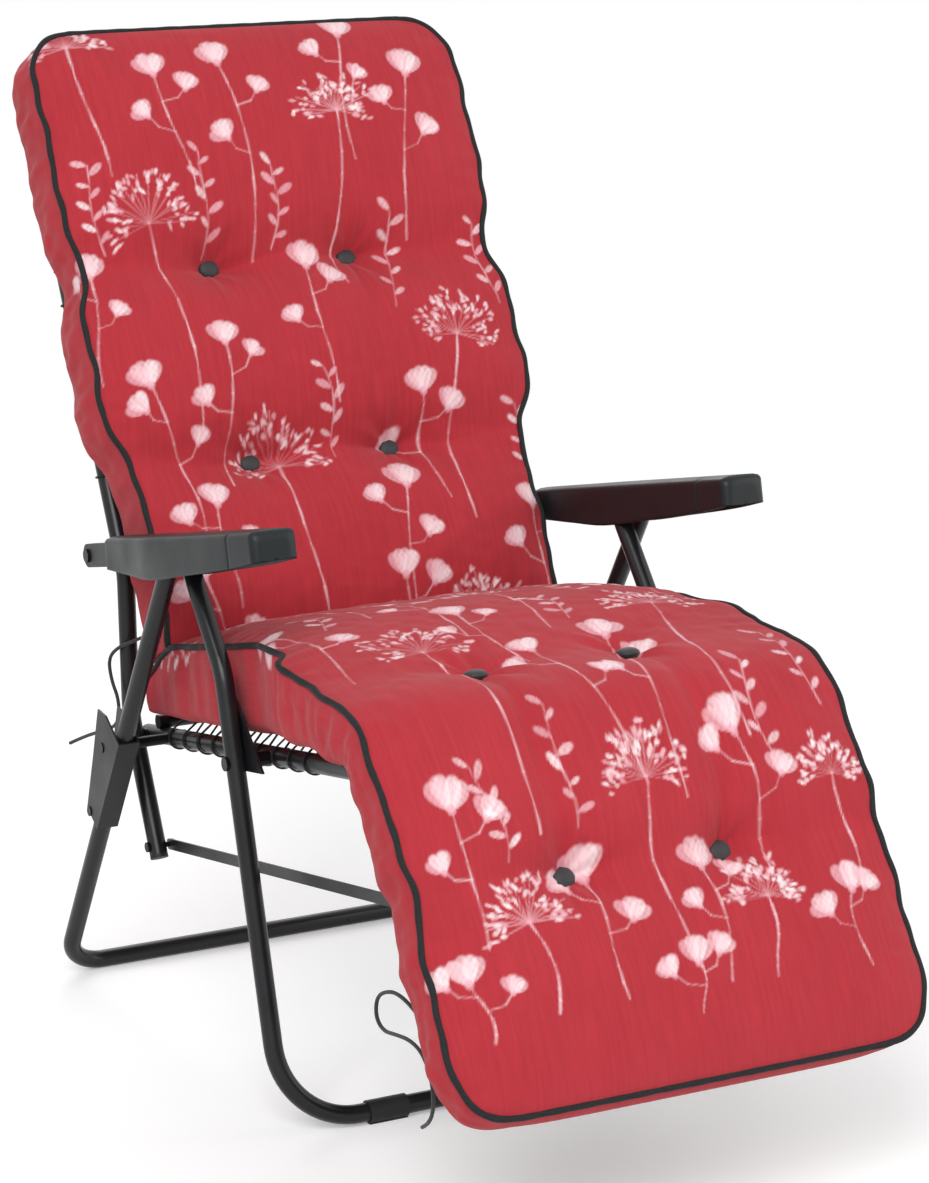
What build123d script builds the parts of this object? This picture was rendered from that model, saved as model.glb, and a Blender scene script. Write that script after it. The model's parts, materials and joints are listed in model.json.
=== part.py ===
from build123d import *
import os
from math import acos, atan2, cos, degrees, hypot, pi, radians, sin, sqrt, tan

# A reclining garden chair: a folding frame of round tube, slings laced into it, plastic armrests
# with a rack that drops on the leg pins, and one long tufted cushion tied over the frame.
# Millimetres. The sitter faces -Y, +X is the sitter's left, and z = 0 is the floor.

# Tubes of the frame
leg_tube = 20.0
back_tube = 20.0
seat_tube = 20.0
cross_tube = 16.0
tube_wall = 1.5

# Half widths, from the outer legs inwards
rear_leg_x = 282.0
leg_gap = 6.0
back_gap = 4.0
rail_gap = 4.0
front_leg_x = rear_leg_x - leg_tube - leg_gap
back_x = front_leg_x - (leg_tube + back_tube) / 2 - back_gap
rail_x = back_x - (back_tube + seat_tube) / 2 - rail_gap

# Legs, seen from the side
apex_y, apex_z = -23.0, 552.0
rear_foot_y = 310.0
front_foot_y = -241.0
front_bend_y, front_bend_z = -103.0, 460.0
leg_over_pin = 10.0
rear_corner_bend = 45.0
front_corner_bend = 85.0
front_leg_bend = 70.0
foot_sleeve_wall = 2.0
foot_sleeve_length = 44.0
foot_sole_width = 13.0
foot_sleeve_x = 118.0

# Seat
seat_rear_y, seat_rear_z = 225.0, 302.0
hinge_y, hinge_z = -395.0, 424.0
hinge_setback = 26.0
rear_pivot_offset = 22.0
seat_rear_bar = 52.0
seat_front_bar = 100.0
gusset_base = 88.0
gusset_height = 96.0
gusset_sheet = 3.0

# Back
back_pivot_y = 204.0
lower_arm = 124.5
lower_lean = 27.2
pivot_to_bend = 27.0
lumbar_length = 162.0
lumbar_lean = 2.2
back_lean = 27.9
back_upper = 590.0
back_bend = 80.0
back_corner_bend = 60.0
back_bar_above_arm = 48.0
arm_pivot_above_bend = 22.0

# Leg rest and its draw bars
legrest_drop = 54.5
legrest_length = 305.0
legrest_corner_bend = 60.0
legrest_bar_down = 64.0
bar_width = 12.0
bar_sheet = 2.5
ear_sheet = 3.0
tongue_sheet = 6.0
boss_radius = 10.0
strap_trim = 1.0

# Pins, bolts and running gaps
pin_radius = 4.0
small_pin_radius = 3.0
head_radius = 7.5
head_height = 2.5
running_gap = 0.08
seat_gap = 0.3
end_gap = 1.0

# Slide bracket on the rear leg
bracket_sheet = 2.0
bracket_top = 40.0
bracket_length = 136.0
bracket_rear = 30.0
bracket_rear_low = 8.0
bracket_rivet_spacing = 94.0

# Armrests
arm_wall = 2.5
arm_inner_clearance = 0.7
arm_width = 54.0
arm_front_width = 48.0
arm_rear_width = 40.0
arm_slope = 13.2
arm_axis_above_pivot = 1.0
arm_front_reach = 508.0
arm_rear_reach = 84.0
arm_above = 17.5
arm_front_below = 12.5
arm_rear_below = 16.0
arm_belly_below = 27.0
arm_rear_swell = 1.0
arm_grip_rise = 4.0
arm_front_rise = 2.0
arm_belly_share = 0.36
arm_edge_round = 5.0
stub_height = 26.0
stub_width = 10.0
stub_length = 166.0
rack_sheet = 3.5
rack_teeth = 7
rack_tooth_depth = 7.0
rack_margin = 0.6
rack_overrun = 14.0
arm_follow = 0.92
recline_range = (-30.0, 5.0)
fold_range = (0.0, 36.0)
seat_follow = -1.656

# Slings and their lacing
sling_sheet = 1.2
sling_edge_gap = 14.0
lace = 2.0
lace_angle = 45.0
lace_setback = 58.0
lace_pitch = 40.0
hem_sheet = 1.0

# Cushion: half widths, then the height of its stations over the tubes, all in one unit
cushion_half = 258.0
cushion_unit = 100.0
cushion_gap = 0.15
cushion_bulge = 5.0
tuft_radius = 50.0
button_radius = 11.0
button_height = 6.0
shank_radius = 2.0
button_x = 86.0

# Ties, whose runs are offsets in this unit from the cushion's rear or foot corner
tie_width = 4.0
tie_unit = 100.0
arc_share = 0.45

x_axis = Vector(1, 0, 0)
sides = (("left", 1), ("right", -1))


def leaning(lean):
    """Unit direction in the side plane that leans back from the vertical by an angle."""
    return sin(radians(lean)), cos(radians(lean))


def along(point, direction, length):
    return point[0] + direction[0] * length, point[1] + direction[1] * length


def left_of(direction):
    """The side-plane direction turned a quarter turn, from +Y towards +Z."""
    return -direction[1], direction[0]


def toward(a, b):
    length = hypot(b[0] - a[0], b[1] - a[1])
    return (b[0] - a[0]) / length, (b[1] - a[1]) / length


def distance(a, b):
    return hypot(b[0] - a[0], b[1] - a[1])


def crossing(a, da, b, db):
    """Point where two side-plane lines cross."""
    det = da[0] * db[1] - da[1] * db[0]
    t = ((b[0] - a[0]) * db[1] - (b[1] - a[1]) * db[0]) / det
    return along(a, da, t)


# Points of the side view
apex = (apex_y, apex_z)
rear_foot = (rear_foot_y, leg_tube / 2)
front_foot = (front_foot_y, leg_tube / 2 + foot_sleeve_wall)
front_bend_point = (front_bend_y, front_bend_z)
seat_rear = (seat_rear_y, seat_rear_z)
hinge = (hinge_y, hinge_z)
rail_dir = toward(seat_rear, hinge)
rail_up = (rail_dir[1], -rail_dir[0])
rear_leg_dir = toward(apex, rear_foot)
rear_leg_back = left_of(rear_leg_dir)
front_low_dir = toward(front_bend_point, front_foot)
seat_pivot = crossing(seat_rear, rail_dir, front_bend_point, front_low_dir)
rear_pivot = crossing(seat_rear, rail_dir, along(apex, rear_leg_back, rear_pivot_offset), rear_leg_dir)
back_pivot = crossing(seat_rear, rail_dir, (back_pivot_y, 0), (0, 1))
lower_dir = leaning(lower_lean)
back_dir = leaning(back_lean)
bar_rear = along(back_pivot, lower_dir, -lower_arm)
lumbar_low = along(back_pivot, lower_dir, pivot_to_bend)
lumbar_high = along(lumbar_low, leaning(lumbar_lean), lumbar_length)
back_top = along(lumbar_high, back_dir, back_upper)
arm_pivot = along(lumbar_high, back_dir, arm_pivot_above_bend)
back_front = left_of(back_dir)
back_bar = along(along(arm_pivot, back_dir, back_bar_above_arm), back_front, (back_tube - cross_tube) / 2)
legrest_dir = (-cos(radians(legrest_drop)), -sin(radians(legrest_drop)))
legrest_up = (-sin(radians(legrest_drop)), cos(radians(legrest_drop)))
legrest_start = along(hinge, legrest_dir, hinge_setback)
legrest_end = along(hinge, legrest_dir, legrest_length)
bar_front = (hinge[0] + bar_rear[0] - back_pivot[0], hinge[1] + bar_rear[1] - back_pivot[1])
arm_dir = (-cos(radians(arm_slope)), sin(radians(arm_slope)))
arm_up = (sin(radians(arm_slope)), cos(radians(arm_slope)))
arm_axis = along(arm_pivot, arm_up, arm_axis_above_pivot)


def at(x, point):
    return Vector(x, point[0], point[1])


def tube(points, bends, diameter, wall=tube_wall):
    """Round tube along straight runs joined by tangent arcs."""
    path = FilletPolyline(*points, radius=bends) if bends else Polyline(*points)
    plane = Plane(origin=path @ 0, z_dir=path % 0)
    ring = Circle(diameter / 2) - Circle(diameter / 2 - wall)
    return sweep(plane * ring, path=path)


def rod(x0, x1, point, radius):
    """Round rod along X between two x values."""
    plane = Plane(origin=at(min(x0, x1), point), x_dir=(0, 1, 0), z_dir=x_axis)
    return extrude(plane * Circle(radius), amount=abs(x1 - x0))


def side_plate(x0, x1, outline):
    """Plate between two x values, from a face drawn in the side view with Y to the right."""
    plane = Plane(origin=(min(x0, x1), 0, 0), x_dir=(0, 1, 0), z_dir=x_axis)
    return extrude(plane * outline, amount=abs(x1 - x0))


def strap(a, b, half_width):
    """Bar outline with round ends in the side view."""
    d = toward(a, b)
    n = left_of(d)
    points = [along(a, n, half_width), along(b, n, half_width),
              along(b, n, -half_width), along(a, n, -half_width)]
    body = make_face(Polyline(*points, close=True))
    return body + Pos(*a) * Circle(half_width) + Pos(*b) * Circle(half_width)


def pin(x0, x1, point, radius, inner_head=True, outer_head=True):
    """Pin between two x values (x0 is nearer the middle), with flat heads outside them."""
    s = 1 if x1 > x0 else -1
    body = rod(x0, x1, point, radius)
    big = head_radius * radius / pin_radius
    if inner_head:
        body += rod(x0 - s * head_height, x0, point, big)
    if outer_head:
        body += rod(x1, x1 + s * head_height, point, big)
    return body


def group(shapes):
    return Compound([s for shape in shapes for s in shape.solids()])


nodes = {}


def add(name, *shapes):
    nodes[name] = group(shapes) if len(shapes) > 1 else shapes[0]


# Rear legs: one tube from armrest to armrest by way of the floor
leg_top = along(apex, rear_leg_dir, -leg_over_pin)
rear_points = [at(rear_leg_x, leg_top), at(rear_leg_x, rear_foot), at(-rear_leg_x, rear_foot),
               at(-rear_leg_x, leg_top)]
rear_frame = tube(rear_points, [rear_corner_bend] * 2, leg_tube)
for name, s in sides:
    rear_frame -= rod(s * (rear_leg_x - leg_tube), s * (rear_leg_x + leg_tube), apex, pin_radius)
add("rear_leg_frame", rear_frame)

# Front legs, cranked below the armrest
front_top_dir = toward(apex, front_bend_point)
front_top = along(apex, front_top_dir, -leg_over_pin)
front_points = [at(front_leg_x, front_top), at(front_leg_x, front_bend_point), at(front_leg_x, front_foot),
                at(-front_leg_x, front_foot), at(-front_leg_x, front_bend_point), at(-front_leg_x, front_top)]
front_bends = [front_leg_bend, front_corner_bend, front_corner_bend, front_leg_bend]
front_frame = tube(front_points, front_bends, leg_tube)
for name, s in sides:
    reach = (s * (front_leg_x - leg_tube), s * (front_leg_x + leg_tube))
    front_frame -= rod(*reach, apex, pin_radius + running_gap)
    front_frame -= rod(*reach, seat_pivot, pin_radius)
add("front_leg_frame", front_frame)

# Plastic sleeves that the front bar stands on
sleeves = []
for name, s in sides:
    x0 = s * foot_sleeve_x
    x1 = s * (foot_sleeve_x + foot_sleeve_length)
    outer = rod(x0, x1, front_foot, leg_tube / 2 + foot_sleeve_wall)
    sole_place = Pos((x0 + x1) / 2, front_foot[0], front_foot[1] / 2)
    sole = sole_place * Box(foot_sleeve_length, foot_sole_width, front_foot[1])
    sleeves.append(outer + sole - rod(x0, x1, front_foot, leg_tube / 2))
add("front_foot_sleeves", *sleeves)

# Pins that join front and rear legs inside the armrests
pin_in = front_leg_x - leg_tube / 2 + end_gap
pin_out = rear_leg_x + leg_tube / 2 - end_gap
add("leg_pins", *[pin(s * pin_in, s * pin_out, apex, pin_radius, False, False) for n, s in sides])

# Slide brackets: channels of sheet that straddle the rear legs and carry the seat's rear
pivot_down = distance(along(apex, rear_leg_back, rear_pivot_offset), rear_pivot)


def leg_point(down, back):
    """Side-plane point given by its distance down the rear leg and behind its centre line."""
    return along(along(apex, rear_leg_dir, down), rear_leg_back, back)


flange_in = leg_tube / 2 + seat_gap
web_front = flange_in + bracket_sheet
retainer_back = leg_tube / 2 + seat_gap + small_pin_radius
rivets = []
for name, s in sides:
    high = pivot_down - bracket_top
    low = high + bracket_length
    rim = [leg_point(high, -web_front), leg_point(low, -web_front),
           leg_point(low, retainer_back + bracket_rear_low),
           leg_point((high + low) / 2, rear_pivot_offset + bracket_rear / 2),
           leg_point(high + boss_radius, rear_pivot_offset + bracket_rear)]
    rim.append(leg_point(high, rear_pivot_offset + boss_radius))
    outline = make_face(Polyline(*rim, close=True))
    shell = side_plate(s * (rear_leg_x - flange_in - bracket_sheet), s * (rear_leg_x + web_front), outline)
    hollow = [leg_point(high - bracket_sheet, -flange_in), leg_point(low + bracket_sheet, -flange_in),
              leg_point(low + bracket_sheet, bracket_length), leg_point(high - bracket_sheet, bracket_length)]
    shell -= side_plate(s * (rear_leg_x - flange_in), s * (rear_leg_x + flange_in),
                        make_face(Polyline(*hollow, close=True)))
    retainer = leg_point(pivot_down + bracket_rivet_spacing, retainer_back)
    for point in (rear_pivot, retainer):
        shell -= rod(s * (rear_leg_x - leg_tube), s * (rear_leg_x + leg_tube), point, small_pin_radius)
        body = rod(s * (rear_leg_x - web_front), s * (rear_leg_x + web_front), point, small_pin_radius)
        inner = s * (rear_leg_x - web_front)
        body += rod(inner - s * head_height / 2, inner, point, head_radius * small_pin_radius / pin_radius)
        outer = s * (rear_leg_x + web_front)
        body += rod(outer, outer + s * head_height / 2, point, head_radius * small_pin_radius / pin_radius)
        rivets.append(body)
    add("slide_bracket_" + name, shell)
add("bracket_rivets", *rivets)

# Seat frame: two rails, two cross tubes and the hinge tongues at the front
rail_end = along(hinge, rail_dir, -hinge_setback)
bar_rise = (seat_tube + cross_tube) / 2 - tube_wall
seat_bars = [along(along(seat_rear, rail_dir, seat_rear_bar), rail_up, bar_rise),
             along(along(hinge, rail_dir, -seat_front_bar), rail_up, bar_rise)]
seat_frame = None
for name, s in sides:
    rail = tube([at(s * rail_x, seat_rear), at(s * rail_x, rail_end)], None, seat_tube)
    tongue_out = s * (rail_x + tongue_sheet - boss_radius / 5)
    tongue_in = tongue_out - s * tongue_sheet
    tongue_strap = strap(along(rail_end, rail_dir, -hinge_setback), hinge, boss_radius - strap_trim)
    tongue = side_plate(tongue_in, tongue_out, tongue_strap)
    rail += tongue
    seat_frame = rail if seat_frame is None else seat_frame + rail
for point in seat_bars:
    seat_frame += rod(-rail_x - cross_tube / 2, rail_x + cross_tube / 2, point, cross_tube / 2)
for name, s in sides:
    reach = (s * (rail_x - seat_tube), s * (rail_x + seat_tube))
    seat_frame -= rod(*reach, hinge, pin_radius + running_gap)
    seat_frame -= rod(*reach, back_pivot, pin_radius + running_gap)
    seat_frame -= rod(*reach, seat_pivot, pin_radius + running_gap)
    seat_frame -= rod(*reach, rear_pivot, pin_radius)
add("seat_frame", seat_frame)

# Triangular gussets on the inner faces of the front legs, at the seat's bolts
gussets = []
gusset_out = front_leg_x - leg_tube / 2
gusset_in = gusset_out - gusset_sheet
for name, s in sides:
    base = along(seat_pivot, rail_up, -boss_radius)
    corner_front = along(base, rail_dir, gusset_base * 0.5)
    corner_rear = along(base, rail_dir, -gusset_base * 0.5)
    top = along(along(base, rail_up, gusset_height), rail_dir, -gusset_base * 0.3)
    corner_face = make_face(Polyline(corner_front, corner_rear, top, close=True))
    plate = side_plate(s * gusset_in, s * gusset_out, corner_face)
    gussets.append(plate - rod(s * gusset_in, s * gusset_out, seat_pivot, pin_radius))
add("leg_gussets", *gussets)

# Bolts of the front legs and the seat, with a spacer tube between rail and leg
seat_bolts = []
for name, s in sides:
    inner = s * (rail_x - seat_tube / 2)
    outer = s * (front_leg_x + leg_tube / 2)
    body = pin(inner, outer, seat_pivot, pin_radius)
    spacer = (s * (rail_x + seat_tube / 2 + seat_gap), s * gusset_in)
    seat_bolts.append(body + rod(*spacer, seat_pivot, pin_radius * 2))
add("seat_leg_bolts", *seat_bolts)

# Bolts at the seat's rear, which end just short of the slide brackets
rear_bolts = []
for name, s in sides:
    inner = s * (rail_x - seat_tube / 2)
    outer = s * (rear_leg_x - web_front - head_height / 2 - seat_gap)
    body = pin(inner, outer, rear_pivot, pin_radius, True, False)
    rear_bolts.append(body + rod(s * (rail_x + seat_tube / 2), outer, rear_pivot, pin_radius * 1.5))
add("seat_rear_bolts", *rear_bolts)

# Back frame: one bent tube with a cross tube at the lumbar end
back_line = [bar_rear, lumbar_low, lumbar_high, back_top]
back_end = along(bar_rear, lower_dir, -boss_radius)
back_line[0] = back_end
back_points = [at(back_x, p) for p in back_line] + [at(-back_x, p) for p in reversed(back_line)]
back_bends = [back_bend, back_bend, back_corner_bend, back_corner_bend, back_bend, back_bend]
back_frame = tube(back_points, back_bends, back_tube)
back_frame += rod(-back_x, back_x, back_bar, cross_tube / 2)
for name, s in sides:
    reach = (s * (back_x - back_tube), s * (back_x + back_tube))
    back_frame -= rod(*reach, back_pivot, pin_radius + running_gap)
    back_frame -= rod(*reach, bar_rear, small_pin_radius + running_gap)
    back_frame -= rod(*reach, arm_pivot, pin_radius + running_gap)
add("back_frame", back_frame)

# Plugs in the open lower ends of the back tube
plugs = []
for name, s in sides:
    plane = Plane(origin=at(s * back_x, back_end), x_dir=x_axis, z_dir=(0, -lower_dir[0], -lower_dir[1]))
    bore = back_tube / 2 - tube_wall
    cap = extrude(plane * Circle(back_tube / 2), amount=2 * foot_sleeve_wall)
    stem = extrude(plane * Circle(bore), amount=-foot_sleeve_wall * 2)
    plugs.append(cap + stem)
add("back_tube_plugs", *plugs)

# Bolts of the back, on which it reclines and folds
add("back_pivot_bolts", *[
    pin(s * (rail_x - seat_tube / 2 - seat_gap), s * (back_x + back_tube / 2 + seat_gap), back_pivot,
        pin_radius)
    + rod(s * (rail_x + seat_tube / 2 + seat_gap), s * (back_x - back_tube / 2 - seat_gap), back_pivot,
          pin_radius * 2)
    for n, s in sides])

# Leg rest
legrest_points = [at(rail_x, legrest_start), at(rail_x, legrest_end), at(-rail_x, legrest_end),
                  at(-rail_x, legrest_start)]
legrest = tube(legrest_points, [legrest_corner_bend] * 2, seat_tube)
legrest_bar = along(along(hinge, legrest_dir, legrest_bar_down), legrest_up, (seat_tube - cross_tube) / 2)
legrest += rod(-rail_x, rail_x, legrest_bar, cross_tube / 2)
ear_low = rail_x + tongue_sheet - boss_radius / 5 + seat_gap
ear_high = ear_low + ear_sheet
for name, s in sides:
    tube_hold = along(legrest_start, legrest_dir, hinge_setback)
    ear = strap(hinge, tube_hold, boss_radius - strap_trim)
    ear += strap(hinge, bar_front, bar_width / 2)
    ear += make_face(Polyline(hinge, along(tube_hold, legrest_dir, hinge_setback), bar_front, close=True))
    legrest += side_plate(s * ear_low, s * ear_high, ear)
for name, s in sides:
    reach = (s * ear_low - s * end_gap, s * ear_high + s * end_gap)
    legrest -= rod(*reach, hinge, pin_radius + running_gap)
    legrest -= rod(*reach, bar_front, small_pin_radius)
add("legrest_frame", legrest)

# Hinge bolts of the leg rest
add("legrest_hinge_bolts", *[
    pin(s * (ear_low - seat_gap * 2 - tongue_sheet), s * (ear_high + seat_gap), hinge, pin_radius)
    for n, s in sides])

# Draw bars from the back tube's lower end to the leg rest
bar_in = ear_high + seat_gap
bar_out = bar_in + bar_sheet
for name, s in sides:
    bar = side_plate(s * bar_in, s * bar_out, strap(bar_rear, bar_front, bar_width / 2))
    for point in (bar_rear, bar_front):
        bar -= rod(s * bar_in, s * bar_out, point, small_pin_radius + running_gap)
    add("draw_bar_" + name, bar)
add("draw_bar_rear_pins", *[
    pin(s * (bar_in - seat_gap), s * (back_x + back_tube / 2 + seat_gap), bar_rear, small_pin_radius)
    for n, s in sides])
add("draw_bar_front_pins", *[
    pin(s * ear_low, s * (bar_out + seat_gap), bar_front, small_pin_radius) for n, s in sides])


# Slings: a strip of fabric between two bars, hemmed round both
def sling(first, first_radius, last, last_radius, front, half_width, hem_width):
    """Sheet laid over two bars, with a hem sleeve round each."""
    level = sling_sheet / 2
    a = along(first, front, first_radius + level)
    b = along(last, front, last_radius + level)
    d = toward(a, b)
    n = left_of(d)
    corners = [along(a, n, level), along(b, n, level), along(b, n, -level), along(a, n, -level)]
    sheet = side_plate(-half_width, half_width, make_face(Polyline(*corners, close=True)))
    for point, radius in ((first, first_radius), (last, last_radius)):
        sheet += rod(-hem_width, hem_width, point, radius + hem_sheet)
    for point, radius in ((first, first_radius), (last, last_radius)):
        sheet -= rod(-half_width - end_gap, half_width + end_gap, point, radius)
    return sheet


def lacing(first, last, half_in, half_out, drop):
    """Zigzag of cord between the edge of a sheet and the side tubes that lie behind it."""
    d = toward(first, last)
    run = distance(first, last)
    n = left_of(d)
    if n[0] * drop[0] + n[1] * drop[1] < 0:
        n = (-n[0], -n[1])
    depth = hypot(*drop)
    steps = max(1, round(run / lace_pitch))
    bars = {}
    for i in range(steps):
        for near, far in ((0.0, 0.5), (1.0, 0.5)):
            for s in (1, -1):
                p = at(s * half_in, along(first, d, run * (i + near) / steps))
                q = at(s * half_out, along(along(first, d, run * (i + far) / steps), n, depth))
                bar = extrude(Plane(origin=p, z_dir=q - p) * Rectangle(lace, lace), amount=(q - p).length)
                bars[s] = bar if s not in bars else bars[s] + bar
    return bars.values()


def laced_sling(label, first, first_radius, last, last_radius, front, tube_x, rise):
    half = tube_x - seat_tube / 2 - sling_edge_gap
    hem = tube_x - seat_tube / 2 - back_corner_bend
    add(label + "_sling", sling(first, first_radius, last, last_radius, front, half, hem))
    a = along(first, front, first_radius)
    b = along(last, front, last_radius)
    d = toward(a, b)
    a = along(a, d, lace_pitch / 2)
    b = along(b, d, -lace_setback)
    reach = seat_tube / 2 + lace * 0.75
    drop = rise - reach * cos(radians(lace_angle))
    add(label + "_lacing", *lacing(a, b, half + lace * 0.75, tube_x - reach * sin(radians(lace_angle)),
                                   (-front[0] * drop, -front[1] * drop)))


laced_sling("seat", seat_bars[0], cross_tube / 2, seat_bars[1], cross_tube / 2, rail_up, rail_x,
            bar_rise + cross_tube / 2)
laced_sling("back", back_bar, cross_tube / 2, back_top, back_tube / 2, back_front, back_x, back_tube / 2)
laced_sling("legrest", legrest_bar, cross_tube / 2, legrest_end, seat_tube / 2, legrest_up, rail_x,
            seat_tube / 2)


# Armrests: hollow mouldings, open below, with a bar to the back and a rack over the leg pins
arm_inner_x = back_x + back_tube / 2 + arm_inner_clearance
arm_run = arm_front_reach - arm_rear_reach


def arm_point(forward, up):
    return along(along(arm_axis, arm_dir, forward), arm_up, up)


def arm_ring(s, forward, inner, outer, low, high, rounding):
    """Armrest cross-section at a distance along its axis."""
    centre = at(s * (arm_inner_x + (inner + outer) / 2), arm_point(forward, (low + high) / 2))
    plane = Plane(origin=centre, x_dir=(s, 0, 0), z_dir=(0, arm_dir[0], arm_dir[1]))
    if rounding:
        return plane * RectangleRounded(outer - inner, high - low, rounding)
    return plane * Rectangle(outer - inner, high - low)


# Stations along the moulding: run, width and depth below the axis
arm_run_shares = (0.0, 0.2, arm_belly_share, 0.62, 0.86, 1.0)
arm_widths = (arm_rear_width, (arm_rear_width + arm_width) / 2, arm_width, arm_width,
              (arm_width + arm_front_width) / 2, arm_front_width)
arm_depths = (arm_rear_below, (arm_rear_below + arm_belly_below) / 2 + arm_rear_swell, arm_belly_below,
              arm_belly_below - arm_grip_rise, (arm_front_below + arm_belly_below) / 2 - arm_front_rise,
              arm_front_below)
for name, s in sides:
    outer_rings = [arm_ring(s, arm_rear_reach + arm_run * run, 0, width, -depth, arm_above, arm_edge_round)
                   for run, width, depth in zip(arm_run_shares, arm_widths, arm_depths)]
    shell = loft(Sketch() + outer_rings, ruled=True)
    inner_rings = [arm_ring(s, arm_rear_reach + arm_run * run, arm_wall, width - arm_wall,
                            -2 * arm_belly_below, arm_above - arm_wall, 0)
                   for run, width in zip(arm_run_shares, arm_widths)]
    hollow = loft(Sketch() + inner_rings, ruled=True)
    nose = arm_ring(s, arm_front_reach - arm_wall, -arm_wall, arm_width + arm_wall, -3 * arm_belly_below,
                    arm_above + arm_wall, 0)
    plane_cut = extrude(nose, amount=2 * arm_wall, dir=(0, arm_dir[0], arm_dir[1]))
    add("armrest_" + name, shell - (hollow - plane_cut))

# Paths of the leg pin inside the armrest, as the back reclines and as the legs fold
def swung(point, centre, degrees):
    """Point turned about a centre in the side plane, forward lean positive."""
    turn = radians(degrees)
    y, z = point[0] - centre[0], point[1] - centre[1]
    return (centre[0] + y * cos(turn) - z * sin(turn), centre[1] + y * sin(turn) + z * cos(turn))


def pin_in_armrest(recline, fold):
    """Place of the leg pin along the armrest and above its axis, at two joint angles."""
    place = swung(apex, seat_pivot, -seat_follow * fold)
    place = swung(place, back_pivot, -recline)
    place = swung(place, arm_pivot, arm_follow * recline)
    away = (place[0] - arm_pivot[0], place[1] - arm_pivot[1])
    return (away[0] * arm_dir[0] + away[1] * arm_dir[1],
            away[0] * arm_up[0] + away[1] * arm_up[1] - arm_axis_above_pivot)


path_steps = 12
recline_span = recline_range[1] - recline_range[0]
fold_span = fold_range[1] - fold_range[0]
pin_path = sorted(pin_in_armrest(recline_range[0] + recline_span * i / path_steps, 0)
                  for i in range(path_steps + 1))
fold_paths = [[pin_in_armrest(lean, fold_range[0] + fold_span * i / path_steps) for i in range(path_steps + 1)]
              for lean in (recline_range[0], recline_range[0] / 2, 0, recline_range[1])]


def pin_height(forward):
    """Greatest height of the pin's centre over the armrest's axis at a distance along it."""
    forward = min(max(forward, pin_path[0][0]), pin_path[-1][0])
    heights = [u0 + (u1 - u0) * (forward - f0) / (f1 - f0)
               for path in [pin_path] + fold_paths
               for (f0, u0), (f1, u1) in zip(path, path[1:]) if f0 <= forward <= f1]
    return max(heights)


rack_from = pin_path[0][0] - rack_overrun
rack_to = pin_path[-1][0] + rack_overrun
rack_step = (rack_to - rack_from) / rack_teeth
for name, s in sides:
    lower = []
    for i in range(rack_teeth + 1):
        spot = rack_from + rack_step * i
        notch = spot + rack_step * 0.42
        low = max(pin_height(spot - rack_step / 4), pin_height(spot), pin_height(spot + rack_step / 4))
        lower.append(arm_point(spot, low + pin_radius + rack_margin))
        if i < rack_teeth:
            lower.append(arm_point(spot + rack_step * 0.2, low + pin_radius + rack_margin))
            lower.append(arm_point(notch, low + pin_radius + rack_margin + rack_tooth_depth))
    roof = arm_above - arm_wall
    lower += [arm_point(rack_to, roof), arm_point(rack_from, roof)]
    mid = (front_leg_x + rear_leg_x) / 2
    add("armrest_rack_" + name, side_plate(s * (mid - rack_sheet / 2), s * (mid + rack_sheet / 2),
                                           make_face(Polyline(*lower, close=True))))
    stub_in = back_x + back_tube / 2 + leg_tube
    half = stub_height / 2
    end = along(arm_pivot, arm_dir, stub_length)
    bar = strap(arm_pivot, along(end, arm_dir, -half), half)
    held = arm_rear_reach + stub_width
    block = [arm_point(held, 0), arm_point(stub_length - half, 0), arm_point(stub_length - half, roof),
             arm_point(held, roof)]
    bar += make_face(Polyline(*block, close=True))
    solid = side_plate(s * stub_in, s * (stub_in + stub_width), bar)
    solid -= rod(s * (stub_in - end_gap), s * (stub_in + stub_width + end_gap), arm_pivot,
                 pin_radius + running_gap)
    add("armrest_bar_" + name, solid)
add("arm_pivot_bolts", *[
    pin(s * (back_x - back_tube / 2 - seat_gap), s * (stub_in + stub_width + seat_gap), arm_pivot,
        pin_radius)
    + rod(s * (back_x + back_tube / 2 + seat_gap), s * (stub_in - seat_gap), arm_pivot, pin_radius * 2)
    for n, s in sides])


# Cushion: sections of boxed sides and a crowned top, lofted along the tubes
def pad_section(origin, up, ahead, low, high, crown, half):
    """Cushion section between two heights over the tube line, in the unit of the tables."""
    plane = Plane(origin=at(0, origin), x_dir=x_axis, z_dir=(0, ahead[0], ahead[1]))
    sign = 1 if (at(0, up).dot(plane.y_dir)) > 0 else -1
    low, high, crown = low * cushion_unit, high * cushion_unit, crown * cushion_unit
    w = half * cushion_unit
    side = (low + high) / 2
    line = Line((-w, sign * low), (w, sign * low))
    right = ThreePointArc((w, sign * low), (w + cushion_bulge, sign * side), (w, sign * high))
    if abs(crown) > end_gap:
        top = ThreePointArc((w, sign * high), (0, sign * (high + crown)), (-w, sign * high))
    else:
        top = Line((w, sign * high), (-w, sign * high))
    left = ThreePointArc((-w, sign * high), (-w - cushion_bulge, sign * side), (-w, sign * low))
    return plane * make_face([line, right, top, left])


def pad(origin, ahead, up, stations, end_up=None, end_ahead=None, ends=()):
    """Loft of sections: each station is run, low, high, crown and half width, in the unit of the tables."""
    rings = []
    for i, (run, low, high, crown, half) in enumerate(stations):
        bisected = end_up is not None and i in ends
        point = along(origin, ahead, run * cushion_unit)
        rings.append(pad_section(point, end_up if bisected else up, end_ahead if bisected else ahead,
                                 low, high, crown, half))
    return loft(Sketch() + rings, ruled=True)


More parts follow.
